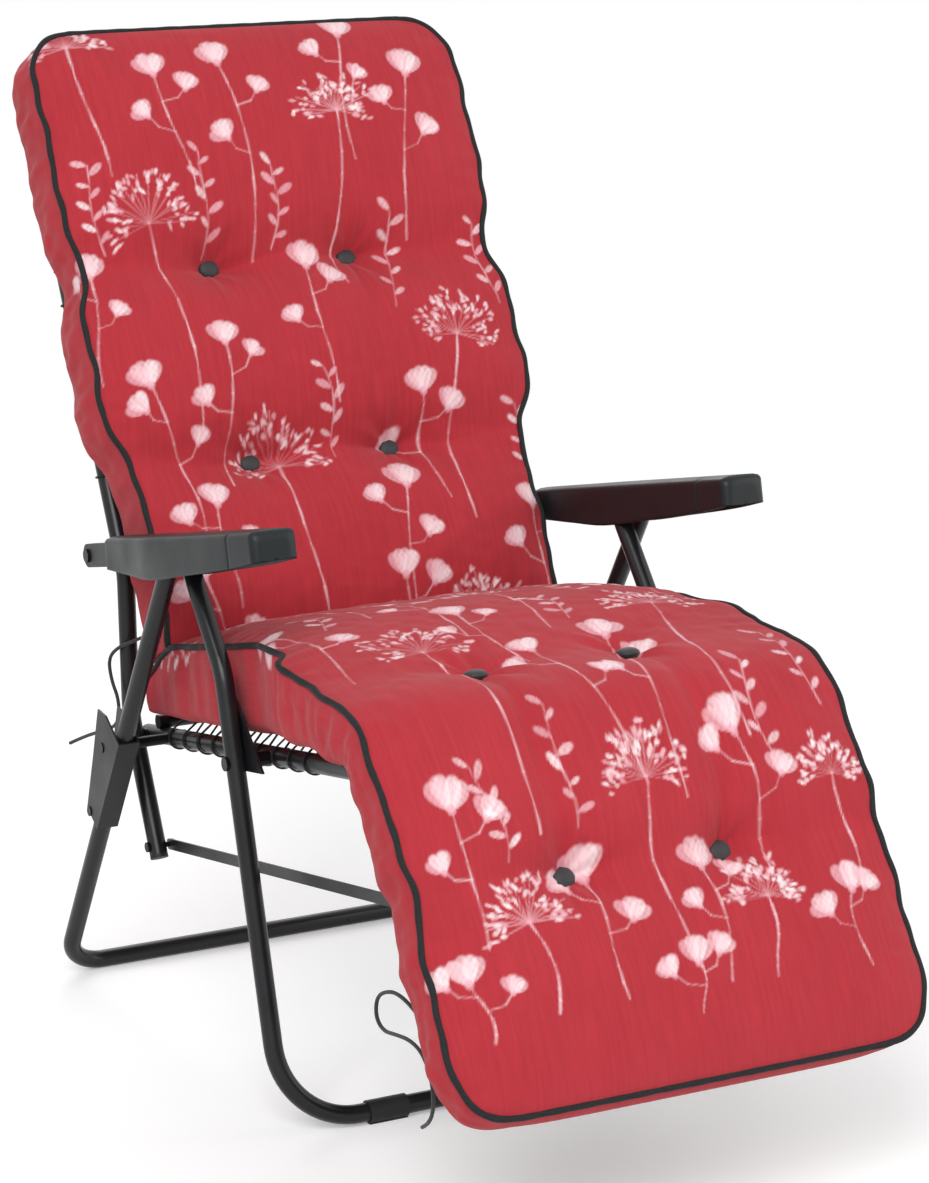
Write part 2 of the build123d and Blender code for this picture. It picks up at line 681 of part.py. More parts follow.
knee_up = (rail_up[0] + legrest_up[0], rail_up[1] + legrest_up[1])
knee_up = (knee_up[0] / hypot(*knee_up), knee_up[1] / hypot(*knee_up))
knee_ahead = left_of(knee_up)
wide = cushion_half / cushion_unit
pinched = 2.35
back_origin = arm_pivot
back_stations = ((-1.32, 0.12, 0.92, 0.02, pinched), (-0.95, 0.12, 0.99, 0.10, pinched),
                 (-0.40, 0.12, 1.02, 0.10, pinched), (0.20, 0.12, 0.98, 0.05, pinched),
                 (0.69, 0.12, 0.93, -0.04, 2.48), (1.15, 0.12, 0.98, 0.04, wide), (1.85, 0.12, 0.98, 0.09, wide),
                 (2.50, 0.12, 0.95, 0.03, wide), (2.98, 0.12, 0.91, -0.03, wide), (3.45, 0.12, 0.96, 0.04, wide),
                 (4.35, 0.12, 0.98, 0.09, wide), (5.15, 0.12, 0.94, 0.05, wide), (5.56, 0.12, 0.86, 0.02, 2.54),
                 (5.76, 0.20, 0.74, 0.02, 2.42))
seat_stations = ((-5.46, 0.28, 0.70, 0.0, pinched), (-4.74, 0.26, 1.05, 0.0, pinched),
                 (-4.10, 0.26, 1.10, 0.10, pinched), (-3.20, 0.26, 1.15, 0.12, pinched),
                 (-2.16, 0.26, 1.19, 0.10, pinched), (-1.40, 0.26, 1.10, 0.06, wide),
                 (-0.88, 0.26, 0.97, 0.01, wide), (-0.44, 0.16, 0.86, -0.05, wide),
                 (-0.0015, 0.12, 0.72, 0.01, wide))
leg_stations = ((0.0015, 0.12, 0.72, 0.01, wide), (0.56, 0.12, 0.76, 0.09, wide), (1.00, 0.12, 0.80, 0.04, wide),
                (1.40, 0.12, 0.78, -0.04, wide), (1.80, 0.12, 0.72, 0.05, wide), (2.40, 0.12, 0.66, 0.13, wide),
                (2.95, 0.12, 0.64, 0.10, wide), (3.36, 0.12, 0.62, 0.05, 2.52), (3.56, 0.20, 0.54, 0.02, 2.38))
cushion_back = pad(back_origin, back_dir, back_front, back_stations)
cushion_seat = pad(hinge, rail_dir, rail_up, seat_stations, knee_up, knee_ahead, (len(seat_stations) - 1,))
cushion_leg = pad(hinge, legrest_dir, legrest_up, leg_stations, knee_up, knee_ahead, (0,))
# Each button row: place along the tubes and height over them
tufts = {"back": (back_origin, back_dir, back_front, ((0.69, 0.67), (2.98, 0.57))),
         "seat": (hinge, rail_dir, rail_up, ((-0.44, 0.54),)),
         "leg": (hinge, legrest_dir, legrest_up, ((1.40, 0.48),))}
pads = {"back": cushion_back, "seat": cushion_seat, "leg": cushion_leg}
for label, (origin, ahead, up, rows) in tufts.items():
    body = pads[label]
    buttons = []
    for run, level in rows:
        point = along(along(origin, ahead, run * cushion_unit), up, level * cushion_unit)
        facing = Vector(0, up[0], up[1])
        rim = tuft_radius - sqrt(tuft_radius ** 2 - button_radius ** 2)
        for n, s in sides:
            place = at(s * button_x, point)
            body -= Pos(*(place + facing * tuft_radius)) * Sphere(tuft_radius)
            plane = Plane(origin=place + facing * running_gap, z_dir=facing)
            shank = extrude(plane * Circle(shank_radius), amount=rim)
            disc = extrude(plane.offset(rim) * Circle(button_radius), amount=button_height)
            buttons.append(shank + disc)
    add("cushion_" + label, body)
    add("buttons_" + label, *buttons)


# Ties that hold the cushion to the frame: straight runs joined by arcs as large as they allow
def cord(start, route):
    """Round cord along a route of offsets from its start, in the unit of the tables."""
    points = [Vector(start[0] + dx * tie_unit, start[1] + dy * tie_unit, start[2] + dz * tie_unit)
              for dx, dy, dz in route]
    radii = []
    for a, b, c in zip(points, points[1:], points[2:]):
        turn = radians((b - a).get_angle(c - b))
        radii.append(arc_share * min((b - a).length, (c - b).length) / tan(turn / 2))
    print("cord radii", [round(r, 1) for r in radii])
    path = FilletPolyline(*points, radius=radii)
    body = sweep(Plane(origin=path @ 0, z_dir=path % 0) * Circle(tie_width / 2), path=path)
    print("cord volume share", round(body.volume / (pi * tie_width ** 2 / 4 * path.length), 3),
          "length", round(path.length, 1))
    return body


tie_back_start = (-cushion_half + 0.3 * tie_unit, 176.47, 428.54)
tie_back_route = ((0.0, 0.0, 0.0), (-0.08, 0.16, -0.09), (-0.18, 0.36, -0.19), (-0.23, 0.56, -0.36),
                  (-0.24, 0.46, -0.59), (-0.24, 0.24, -0.77), (-0.24, 0.27, -1.04), (-0.25, 0.62, -1.22),
                  (-0.30, 1.02, -1.36), (-0.40, 1.38, -1.55))
tie_foot_start = (-cushion_half + 0.25 * tie_unit, -558.73, 213.74)
tie_foot_route = ((0.0, 0.0, 0.0), (0.02, 0.18, -0.13), (0.05, 0.39, -0.07), (0.06, 0.72, 0.06), (0.06, 1.11, 0.11),
                  (0.05, 1.37, 0.04), (0.04, 1.54, -0.08), (0.02, 1.52, -0.27), (0.0, 1.31, -0.34),
                  (-0.02, 0.99, -0.26), (-0.05, 0.62, -0.18), (-0.06, 0.33, -0.21), (-0.06, 0.14, -0.41),
                  (-0.05, 0.12, -0.68), (-0.03, 0.26, -0.9), (-0.01, 0.45, -1.01))
add("tie_back_right", cord(tie_back_start, tie_back_route))
add("tie_foot_right", cord(tie_foot_start, tie_foot_route))

# Shared frame: the middle of the chair's own bounds on the floor, ties left out
solid_parts = [shape.bounding_box() for name, shape in nodes.items() if not name.startswith("tie_")]
shift_y = -(min(b.min.Y for b in solid_parts) + max(b.max.Y for b in solid_parts)) / 2
floor_z = min(b.min.Z for b in solid_parts)
joints = {"fold": apex, "seat": seat_pivot, "back": back_pivot, "legrest": hinge, "draw bar": bar_rear,
          "draw bar front": bar_front, "armrest": arm_pivot, "rear pivot": rear_pivot}

if __name__ == "__main__":
    os.makedirs("parts", exist_ok=True)
    for name, shape in nodes.items():
        export_step(Pos(0, shift_y, 0) * shape, os.path.join("parts", name + ".step"))
        box = shape.bounding_box()
        print(name, len(shape.solids()), round(shape.volume), [round(v + d) for v, d in zip(box.min, (0, shift_y, 0))],
              [round(v + d) for v, d in zip(box.max, (0, shift_y, 0))])
    print("shift", round(shift_y, 2), "floor", round(floor_z, 3))
    for name, point in joints.items():
        print(name, round(point[0] + shift_y, 2), round(point[1], 2))
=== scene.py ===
import json
import bmesh
import bpy
import numpy as np
from mathutils import Matrix, Vector


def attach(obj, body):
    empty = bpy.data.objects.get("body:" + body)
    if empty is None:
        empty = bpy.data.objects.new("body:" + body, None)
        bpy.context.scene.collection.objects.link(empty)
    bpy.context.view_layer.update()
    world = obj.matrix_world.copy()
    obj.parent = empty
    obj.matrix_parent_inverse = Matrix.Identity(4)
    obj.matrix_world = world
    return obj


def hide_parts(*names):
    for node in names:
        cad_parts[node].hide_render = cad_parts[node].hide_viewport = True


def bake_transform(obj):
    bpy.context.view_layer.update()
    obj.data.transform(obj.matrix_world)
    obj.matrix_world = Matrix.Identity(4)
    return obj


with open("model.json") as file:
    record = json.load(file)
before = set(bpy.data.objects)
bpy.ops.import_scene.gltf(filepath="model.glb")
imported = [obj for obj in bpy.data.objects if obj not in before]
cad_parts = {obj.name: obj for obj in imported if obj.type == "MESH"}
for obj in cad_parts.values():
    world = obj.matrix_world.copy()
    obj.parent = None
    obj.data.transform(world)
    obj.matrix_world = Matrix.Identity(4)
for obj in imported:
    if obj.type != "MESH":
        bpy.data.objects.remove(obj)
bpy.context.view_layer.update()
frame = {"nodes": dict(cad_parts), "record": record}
print("frame loaded")

scene = bpy.context.scene
nodes = frame["nodes"]
record = frame["record"]
jointPlace = {j["name"]: np.array(j["pos_m"], float) for j in record["behaviour"]["joints"] if "pos_m" in j}


# camera: place and axes fitted to the photograph, lens from its focal length in pixels
photoCamera = {
    "place": (-1.624, -3.2392, 1.447),
    "right": (0.8898, -0.4564, 0.0012),
    "up": (0.1134, 0.2236, 0.9681),
    "back": (-0.4421, -0.8612, 0.2507),
    "focalPixels": 3530.4,
    "photoHeight": 1183,
}


def setCamera(c):
    data = bpy.data.cameras.new("photoCamera")
    data.sensor_fit = "VERTICAL"
    data.sensor_height = 36.0
    data.lens = c["focalPixels"] / c["photoHeight"] * data.sensor_height
    data.clip_end = 60.0
    camera = bpy.data.objects.new("photoCamera", data)
    scene.collection.objects.link(camera)
    turn = Matrix((c["right"], c["up"], c["back"])).transposed()
    camera.matrix_world = Matrix.Translation(c["place"]) @ turn.to_4x4()
    scene.camera = camera


setCamera(photoCamera)
print("camera set")


# small helpers for node trees and meshes
def newMaterial(name):
    mat = bpy.data.materials.new(name)
    mat.use_nodes = True
    tree = mat.node_tree
    tree.nodes.clear()
    out = tree.nodes.new("ShaderNodeOutputMaterial")
    shader = tree.nodes.new("ShaderNodeBsdfPrincipled")
    tree.links.new(shader.outputs[0], out.inputs[0])
    return mat, tree, shader


def addNode(tree, kind, **settings):
    node = tree.nodes.new(kind)
    for key, value in settings.items():
        if hasattr(node, key):
            setattr(node, key, value)
        else:
            node.inputs[key].default_value = value
    return node


def link(tree, a, b):
    tree.links.new(a, b)


def setInputs(node, values):
    for key, value in values.items():
        node.inputs[key].default_value = value


def mixColor(tree, factor, a, b):
    node = tree.nodes.new("ShaderNodeMix")
    node.data_type = "RGBA"
    for socket, value in ((0, factor), (6, a), (7, b)):
        if isinstance(value, bpy.types.NodeSocket):
            tree.links.new(value, node.inputs[socket])
        else:
            node.inputs[socket].default_value = value
    return node.outputs[2]


def mathNode(tree, operation, *values):
    node = tree.nodes.new("ShaderNodeMath")
    node.operation = operation
    for i, value in enumerate(values):
        if isinstance(value, bpy.types.NodeSocket):
            tree.links.new(value, node.inputs[i])
        else:
            node.inputs[i].default_value = value
    return node.outputs[0]


def ramp(tree, source, stops):
    node = tree.nodes.new("ShaderNodeValToRGB")
    tree.links.new(source, node.inputs[0])
    points = node.color_ramp.elements
    points[0].position, points[0].color = stops[0]
    points[1].position, points[1].color = stops[-1]
    for place, color in stops[1:-1]:
        points.new(place).color = color
    return node.outputs[0]


def bumpFrom(tree, shader, height, strength, distance):
    node = addNode(tree, "ShaderNodeBump", Strength=strength, Distance=distance)
    tree.links.new(height, node.inputs["Height"])
    tree.links.new(node.outputs[0], shader.inputs["Normal"])


def darkThread(name, grain, detail, tones, bump, values):
    # dark cloth or cord with fine noise in its tone and its bump, whose numbers are strength and distance
    mat, tree, shader = newMaterial(name)
    place = addNode(tree, "ShaderNodeTexCoord")
    noise = addNode(tree, "ShaderNodeTexNoise", Scale=grain, Detail=detail)
    link(tree, place.outputs["Object"], noise.inputs["Vector"])
    link(tree, ramp(tree, noise.outputs[0], tones), shader.inputs["Base Color"])
    setInputs(shader, values)
    bumpFrom(tree, shader, noise.outputs[0], *bump)
    return mat


def unit(v):
    return v / np.linalg.norm(v)


def meshPiece(name, points, quads, materials, slots=None, uvs=None):
    mesh = bpy.data.meshes.new(name)
    mesh.from_pydata(np.asarray(points, float).tolist(), [], np.asarray(quads, int).tolist())
    for mat in materials:
        mesh.materials.append(mat)
    if slots is not None:
        mesh.polygons.foreach_set("material_index", np.asarray(slots, np.int32))
    mesh.polygons.foreach_set("use_smooth", np.ones(len(mesh.polygons), bool))
    if uvs is not None:
        loopVerts = np.zeros(len(mesh.loops), np.int32)
        mesh.loops.foreach_get("vertex_index", loopVerts)
        layer = mesh.uv_layers.new(name="cloth")
        layer.data.foreach_set("uv", np.asarray(uvs, np.float32)[loopVerts].ravel())
    mesh.update()
    piece = bpy.data.objects.new(name, mesh)
    scene.collection.objects.link(piece)
    return piece


def closeSeams(piece, turn):
    # points that lie on each other become one, and the faces of a closed shell are turned outwards
    work = bmesh.new()
    work.from_mesh(piece.data)
    bmesh.ops.remove_doubles(work, verts=work.verts, dist=1e-6)
    if turn:
        bmesh.ops.recalc_face_normals(work, faces=work.faces)
    work.to_mesh(piece.data)
    work.free()


def gridFaces(rows, cols, wrap=False, first=0):
    # quads of a grid of rows by cols points, closed across the columns when wrap is set
    r = np.arange(rows - 1)[:, None]
    c = np.arange(cols if wrap else cols - 1)[None, :]
    d = (c + 1) % cols
    a, b, e, f = r * cols + c, r * cols + d, (r + 1) * cols + d, (r + 1) * cols + c
    return np.stack([a + 0 * b, b, e, f], -1).reshape(-1, 4) + first


def tubeAlong(path, radius, sides):
    # circle carried along a path of points, turned as little as possible, its ends closed by quads
    path = np.asarray(path, float)
    ahead = np.gradient(path, axis=0)
    ahead /= np.linalg.norm(ahead, axis=1)[:, None]
    side = np.cross(ahead, [0.0, 0.0, 1.0])
    weak = np.linalg.norm(side, axis=1) < 0.2
    side[weak] = np.cross(ahead[weak], [1.0, 0.0, 0.0])
    side /= np.linalg.norm(side, axis=1)[:, None]
    for i in range(1, len(path)):
        side[i] = side[i - 1] - ahead[i] * np.dot(side[i - 1], ahead[i])
        side[i] /= np.linalg.norm(side[i])
    up = np.cross(side, ahead)
    angle = np.arange(sides) / sides * 2 * np.pi
    ring = np.cos(angle)[None, :, None] * side[:, None, :] + np.sin(angle)[None, :, None] * up[:, None, :]
    radius = np.broadcast_to(np.asarray(radius, float), (len(path),))
    points = path[:, None, :] + ring * radius[:, None, None]
    quads = gridFaces(len(path), sides, wrap=True)[:, ::-1]
    cap = np.array([(0, 2 * k - 1, 2 * k, 2 * k + 1) for k in range(1, sides // 2)])
    quads = np.vstack([quads, cap, cap[:, ::-1] + (len(path) - 1) * sides])
    return points.reshape(-1, 3), quads


# cords: the two ties that hang free, on smooth lines through the route of their solids
tieFacts = {
    "width": 0.004,
    "unit": 0.1,
    "shift": 0.06884,
    "back": {"start": (-0.228, 0.17647, 0.42854),
             "route": ((0.0, 0.0, 0.0), (-0.08, 0.16, -0.09), (-0.18, 0.36, -0.19), (-0.23, 0.56, -0.36),
                       (-0.24, 0.46, -0.59), (-0.24, 0.24, -0.77), (-0.24, 0.27, -1.04),
                       (-0.25, 0.62, -1.22), (-0.30, 1.02, -1.36), (-0.40, 1.38, -1.55))},
    "foot": {"start": (-0.233, -0.55873, 0.21374),
             "route": ((0.0, 0.0, 0.0), (0.02, 0.18, -0.13), (0.05, 0.39, -0.07), (0.06, 0.72, 0.06),
                       (0.06, 1.11, 0.11), (0.05, 1.37, 0.04), (0.04, 1.54, -0.08), (0.02, 1.52, -0.27),
                       (0.0, 1.31, -0.34), (-0.02, 0.99, -0.26), (-0.05, 0.62, -0.18), (-0.06, 0.33, -0.21),
                       (-0.06, 0.14, -0.41), (-0.05, 0.12, -0.68), (-0.03, 0.26, -0.9),
                       (-0.01, 0.45, -1.01))},
}


wovenTie = darkThread(
    "wovenTie", 900.0, 2.0, [(0.3, (0.012, 0.013, 0.014, 1)), (0.75, (0.035, 0.036, 0.039, 1))],
    (0.5, 0.0004), {"Roughness": 0.8, "Sheen Weight": 0.15})


def makeTie(name, facts, node, body):
    start, route = np.array(facts["start"]), np.array(facts["route"])
    points = start + route * tieFacts["unit"] + [0.0, tieFacts["shift"], 0.0]
    data = bpy.data.curves.new(name, "CURVE")
    data.dimensions = "3D"
    line = data.splines.new("NURBS")
    line.points.add(len(points) - 1)
    line.points.foreach_set("co", np.hstack([points, np.ones((len(points), 1))]).ravel())
    line.order_u = 3
    line.use_endpoint_u = True
    line.resolution_u = 16
    data.bevel_depth = tieFacts["width"] / 2
    data.bevel_resolution = 3
    data.use_fill_caps = True
    data.materials.append(wovenTie)
    piece = bpy.data.objects.new(name, data)
    scene.collection.objects.link(piece)
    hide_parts(node)
    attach(piece, body)
    return piece


makeTie("tieBack", tieFacts["back"], "tie_back_right", "back")
makeTie("tieFoot", tieFacts["foot"], "tie_foot_right", "legrest")
print("ties made")


# directions of the frame in the side view, as (y, z)
def leaning(degrees):
    a = np.radians(degrees)
    return np.array([np.sin(a), np.cos(a)])


backAhead = leaning(27.9)
backFront = np.array([-backAhead[1], backAhead[0]])
railAhead = np.array([-0.98118, 0.19307])
railUp = np.array([0.19307, 0.98118])
legAhead = -np.array([np.cos(np.radians(54.5)), np.sin(np.radians(54.5))])
legUp = np.array([legAhead[1], -legAhead[0]])
kneeUp = unit(railUp + legUp)
hinge = jointPlace["legrest_hinge"][1:]
armPivot = jointPlace["armrest_hinge"][1:]

# cushion: half widths wide and pinched in units of 100 mm, runs in the same unit, all else in metres
cushion = {
    "wide": 2.58, "pinched": 2.35, "spacing": 0.0017, "lift": 0.010,
    # buttons, and the tufts and folds round them
    "buttonAcross": 0.086, "tuftDepth": 0.027, "tuftSpread": 0.030,
    "foldHeight": 0.0034, "foldSpan": (0.016, 0.050),
    # depth and spread of what runs over the top, and the height of its waves
    "crease": (0.009, 0.013), "creaseReach": 0.055, "trough": (0.013, 0.042), "lane": (0.0055, 0.014),
    "wander": (0.004, 0.002), "softWave": 0.0010, "fineWave": 0.00035, "pucker": (0.0016, 0.010, 0.018),
    # outline: depth and spread of the pinch at each row and beside the front legs, waver, free end
    "rowPinch": (0.009, 0.035), "legPass": (0.013, 0.024), "legPassRun": -1.62, "waver": (0.0012, 0.0008),
    "endCorner": 0.052, "endPuff": (0.008, 0.006), "endFade": 0.07,
    # sides, and the half width past which they swell in full
    "bulge": 0.006, "crumple": (0.0022, 0.0012), "tuck": 0.012, "slimSides": 0.35, "slimSpan": (0.236, 0.020),
    "piping": 0.0034, "pipingStep": 0.0045, "pipingOut": 0.0008, "pipingAhead": 0.001,
}
# stations of run, low, high, crown and half width, in units of 100 mm, as in the solid
wide, pinched = cushion["wide"], cushion["pinched"]
backStations = np.array([
    (-1.32, 0.12, 0.92, 0.02, pinched), (-0.95, 0.12, 0.99, 0.10, pinched),
    (-0.40, 0.12, 1.02, 0.10, pinched), (0.20, 0.12, 0.98, 0.05, pinched),
    (0.69, 0.12, 0.93, 0.00, 2.46), (1.15, 0.12, 0.98, 0.06, wide),
    (1.85, 0.12, 0.98, 0.11, wide), (2.50, 0.12, 0.95, 0.05, wide), (2.98, 0.12, 0.91, 0.00, 2.54),
    (3.45, 0.12, 0.96, 0.06, wide), (4.35, 0.12, 0.98, 0.11, wide), (5.15, 0.12, 0.94, 0.08, wide),
    (5.76, 0.14, 0.84, 0.04, wide)])
seatStations = np.array([
    (-5.46, 0.28, 0.70, 0.0, pinched), (-4.74, 0.26, 1.05, 0.0, pinched), (-4.10, 0.26, 1.10, 0.10, pinched),
    (-3.20, 0.26, 1.15, 0.12, pinched), (-2.16, 0.26, 1.19, 0.10, pinched), (-1.40, 0.26, 1.10, 0.06, wide),
    (-0.88, 0.26, 0.97, 0.02, wide), (-0.44, 0.16, 0.86, 0.0, wide), (0.0, 0.12, 0.72, 0.02, wide)])
legStations = np.array([
    (0.0, 0.12, 0.72, 0.02, wide), (0.56, 0.12, 0.76, 0.08, wide), (1.00, 0.12, 0.80, 0.04, wide),
    (1.40, 0.12, 0.78, 0.0, wide), (1.80, 0.12, 0.72, 0.06, wide), (2.40, 0.12, 0.66, 0.12, wide),
    (2.95, 0.12, 0.64, 0.09, wide), (3.56, 0.14, 0.58, 0.04, wide)])


def hermite(x, xs, ys):
    # cubic through a table of values, with each slope the mean of its neighbours'
    ys = np.asarray(ys, float)
    flat = ys.ndim == 1
    ys = ys[:, None] if flat else ys
    d = np.diff(ys, axis=0) / np.diff(xs)[:, None]
    m = np.vstack([d[:1], (d[1:] + d[:-1]) / 2, d[-1:]])
    i = np.clip(np.searchsorted(xs, x) - 1, 0, len(xs) - 2)
    h = (xs[i + 1] - xs[i])[:, None]
    t = ((x - xs[i]) / (xs[i + 1] - xs[i]))[:, None]
    out = ((1 + 2 * t) * (1 - t) ** 2 * ys[i] + t * (1 - t) ** 2 * h * m[i]
           + t * t * (3 - 2 * t) * ys[i + 1] + t * t * (t - 1) * h * m[i + 1])
    return out[:, 0] if flat else out


def waves(seed, count, low, high):
    # sum of sine waves with seeded directions and lengths between low and high metres
    rng = np.random.default_rng(seed)
    k = 2 * np.pi / rng.uniform(low, high, count)
    a = rng.uniform(0, 2 * np.pi, count)
    p = rng.uniform(0, 2 * np.pi, count)

    def field(u, v):
        total = np.zeros(np.broadcast(u, v).shape)
        for ki, ai, pi in zip(k, a, p):
            total += np.sin(ki * (np.cos(ai) * u + np.sin(ai) * v) + pi)
        return total / np.sqrt(count)
    return field


softWaves = waves(3, 14, 0.07, 0.16)
fineWaves = waves(5, 22, 0.018, 0.04)


def reliefOver(x, run, w, rows, seed, overKnee):
    # height of the filled top over its crown: tufts, their folds, the creases of the rows and edge puckers
    c = cushion
    rng = np.random.default_rng(seed)
    ax = np.abs(x)
    creaseDepth, creaseSpread = c["crease"]
    troughDepth, troughSpread = c["trough"]
    foldInner, foldOuter = c["foldSpan"]
    height = c["softWave"] * softWaves(x + seed, run) + c["fineWave"] * fineWaves(x, run + seed)
    for row, trough, tuft in rows:
        wander = row + c["wander"][0] * np.sin(x * 23 + seed) + c["wander"][1] * np.sin(x * 61 + seed * 2)
        gap = run - wander
        near = np.exp(-((ax - c["buttonAcross"]) / c["creaseReach"]) ** 2)
        depth = creaseDepth * (0.35 + 0.9 * near)
        height -= trough * depth * np.exp(-(np.abs(gap) / creaseSpread) ** 1.3) * (1 - 0.55 * (ax / w) ** 4)
        height -= trough * troughDepth * np.exp(-(gap / troughSpread) ** 2) * (1 - 0.7 * (ax / w) ** 2)
        for side in (1, -1):
            dx, dy = x - side * c["buttonAcross"], run - row
            r = np.hypot(dx, dy * 1.05)
            a = np.arctan2(dy, dx)
            height -= tuft * c["tuftDepth"] * np.exp(-(r / c["tuftSpread"]) ** 1.25)
            folds = rng.uniform(5.5, 7.5)
            phase, twist = rng.uniform(0, 6.28, 2)
            wave = np.cos(np.round(folds) * a + phase + 0.9 * np.sin(2 * a + twist))
            wave = np.sign(wave) * np.abs(wave) ** 1.4
            fade = np.exp(-(r / foldOuter) ** 1.5)
            height += c["foldHeight"] * wave * fade * (1 - np.exp(-(r / foldInner) ** 2))
    if overKnee:
        # soft lanes run lengthwise from the seat's buttons to the leg's
        laneDepth, laneSpread = c["lane"]
        first, last = rows[0][0], rows[-1][0]
        between = np.clip((run - first + 0.03) / 0.04, 0, 1) * np.clip((last + 0.03 - run) / 0.04, 0, 1)
        lane = ax - c["buttonAcross"] - 0.006 * np.sin((run - first) / (last - first) * np.pi)
        height -= laneDepth * between * np.exp(-(np.abs(lane) / laneSpread) ** 1.4)
    puckerHeight, puckerFrom, puckerSpread = c["pucker"]
    for side, shift in ((1, 0.0), (-1, 3.1)):
        edge = w - side * x
        pucker = np.sin(run * 190 + 2.2 * np.sin(run * 37 + shift) + seed + shift)
        height += puckerHeight * pucker * np.exp(-np.abs(edge - puckerFrom) / puckerSpread) * (edge > 0)
    return height


# print: generic sprays, blossoms and sprigs laid out for this cushion, painted on its points
printColors = {"white": (0.93, 0.84, 0.85), "pale": (0.90, 0.62, 0.66), "pink": (0.83, 0.36, 0.43),
               "deep": (0.74, 0.22, 0.30)}
# in millimetres, with the fourth value a lean in degrees
# each spray: place across, place down the cloth, radius, lean, stem length
sprays = ((-165, 235, 60, -8, 240), (85, 120, 52, 6, 200), (175, 395, 58, 10, 220), (-60, 520, 60, -4, 200),
          (140, 720, 56, 8, 220), (-150, 860, 58, -10, 200), (40, 980, 50, 4, 180),
          (-120, 1170, 62, -6, 240), (165, 1130, 58, 9, 220), (10, 1370, 52, 2, 160),
          (-215, 20, 48, -4, 160), (215, 1395, 46, 6, 120), (-150, 1490, 54, -5, 90),
          (105, 1505, 48, 7, 80))
# each blossom stem: place across, place down, size, lean, stem length
blossoms = ((-45, 50, 21, -5, 230), (185, 75, 23, 12, 200), (20, 290, 22, 6, 170),
            (-205, 420, 21, -12, 180), (-110, 380, 19, 4, 160), (75, 560, 22, 8, 150),
            (225, 600, 20, 2, 140), (-190, 640, 22, -8, 160), (-20, 760, 21, -6, 150),
            (215, 880, 22, 8, 180), (-60, 960, 22, 5, 190), (-225, 1040, 21, -5, 180),
            (80, 1180, 24, 10, 220), (-15, 1200, 20, -10, 180), (-200, 1370, 22, 4, 140),
            (120, 1340, 22, -6, 140), (120, 455, 20, -6, 130), (-155, 560, 20, 5, 120),
            (45, 665, 21, 4, 130), (-240, 285, 19, 3, 130), (-40, 1085, 21, -7, 140),
            (200, 1000, 20, 6, 130), (50, 1460, 22, 5, 120), (-70, 1450, 22, -6, 130),
            (200, 1510, 21, 7, 80), (-225, 1535, 20, -4, 60), (10, 1555, 19, 3, 50), (115, 20, 21, 7, 160),
            (-125, 60, 20, -9, 150))
# each sprig of leaves: place across, place down, length, lean
sprigs = ((130, 240, 120, 14), (-225, 165, 100, -10), (-95, 160, 110, 9), (0, 420, 100, -14),
          (235, 260, 100, -6), (-130, 740, 110, 12), (60, 850, 100, -9), (130, 960, 100, 14),
          (-170, 985, 90, 10), (230, 1230, 100, -8), (-70, 1300, 110, 12), (60, 1060, 80, -12),
          (165, 1280, 90, 10), (-170, 1340, 90, -9), (235, 480, 90, -8), (-235, 760, 100, 7),
          (-10, 180, 90, 11))


def inMetres(row):
    return [v if i == 3 else v / 1000 for i, v in enumerate(row)]


class Paint:
    # colour and cover of the print at each point of the cloth, built up stroke by stroke
    def __init__(self, across, down):
        self.u, self.v = across, down
        self.rgb = np.zeros((len(across), 3)) + printColors["pale"]
        self.cover = np.zeros(len(across))

    def near(self, u0, u1, v0, v1):
        return np.nonzero((self.u > u0) & (self.u < u1) & (self.v > v0) & (self.v < v1))[0]

    def put(self, index, amount, color):
        amount = np.clip(amount, 0, 1)[:, None]
        self.rgb[index] = self.rgb[index] * (1 - amount) + np.array(color) * amount
        self.cover[index] = self.cover[index] + amount[:, 0] * (1 - self.cover[index])

    def petal(self, u, v, length, width, angle, color, amount, taper=0.35):
        # ellipse that narrows towards its root
        i = self.near(u - length, u + length, v - length, v + length)
        if not len(i):
            return
        du, dv = self.u[i] - u, self.v[i] - v
        a = du * np.sin(angle) - dv * np.cos(angle)
        b = du * np.cos(angle) + dv * np.sin(angle)
        half = width / 2 * (1 + taper * a / (length / 2))
        d = np.hypot(a / (length / 2), b / np.maximum(half, 1e-5))
        soft = 0.0012 / (width / 2)
        mottle = 0.82 + 0.18 * np.sin(self.u[i] * 900 + u * 70) * np.sin(self.v[i] * 700 + v * 90)
        self.put(i, np.clip((1 + soft / 2 - d) / soft, 0, 1) * amount * mottle, color)

    def stroke(self, points, width, color, amount):
        # line through points whose width and cover vary softly along it
        for (u0, v0), (u1, v1) in zip(points[:-1], points[1:]):
            pad = width * 2
            i = self.near(min(u0, u1) - pad, max(u0, u1) + pad, min(v0, v1) - pad, max(v0, v1) + pad)
            if not len(i):
                continue
            e = np.array([u1 - u0, v1 - v0])
            t = np.clip(((self.u[i] - u0) * e[0] + (self.v[i] - v0) * e[1]) / (e @ e), 0, 1)
            d = np.hypot(self.u[i] - u0 - t * e[0], self.v[i] - v0 - t * e[1])
            half = width / 2 * (0.8 + 0.3 * np.sin(self.v[i] * 120 + u0 * 300))
            cover = np.clip((half + 0.0008 - d) / 0.0016, 0, 1)
            self.put(i, cover * amount * (0.75 + 0.25 * np.sin(self.v[i] * 57 + u0 * 90)), color)


def stemPoints(u, v, lean, length, seed):
    t = np.linspace(0, 1, 9)
    a = np.radians(lean)
    sway = 0.006 * np.sin(t * 4.2 + seed)
    across = u - np.sin(a) * length * t * (1 - 0.4 * t) + sway - sway[0]
    return np.stack([across, v + np.cos(a) * length * t], 1)


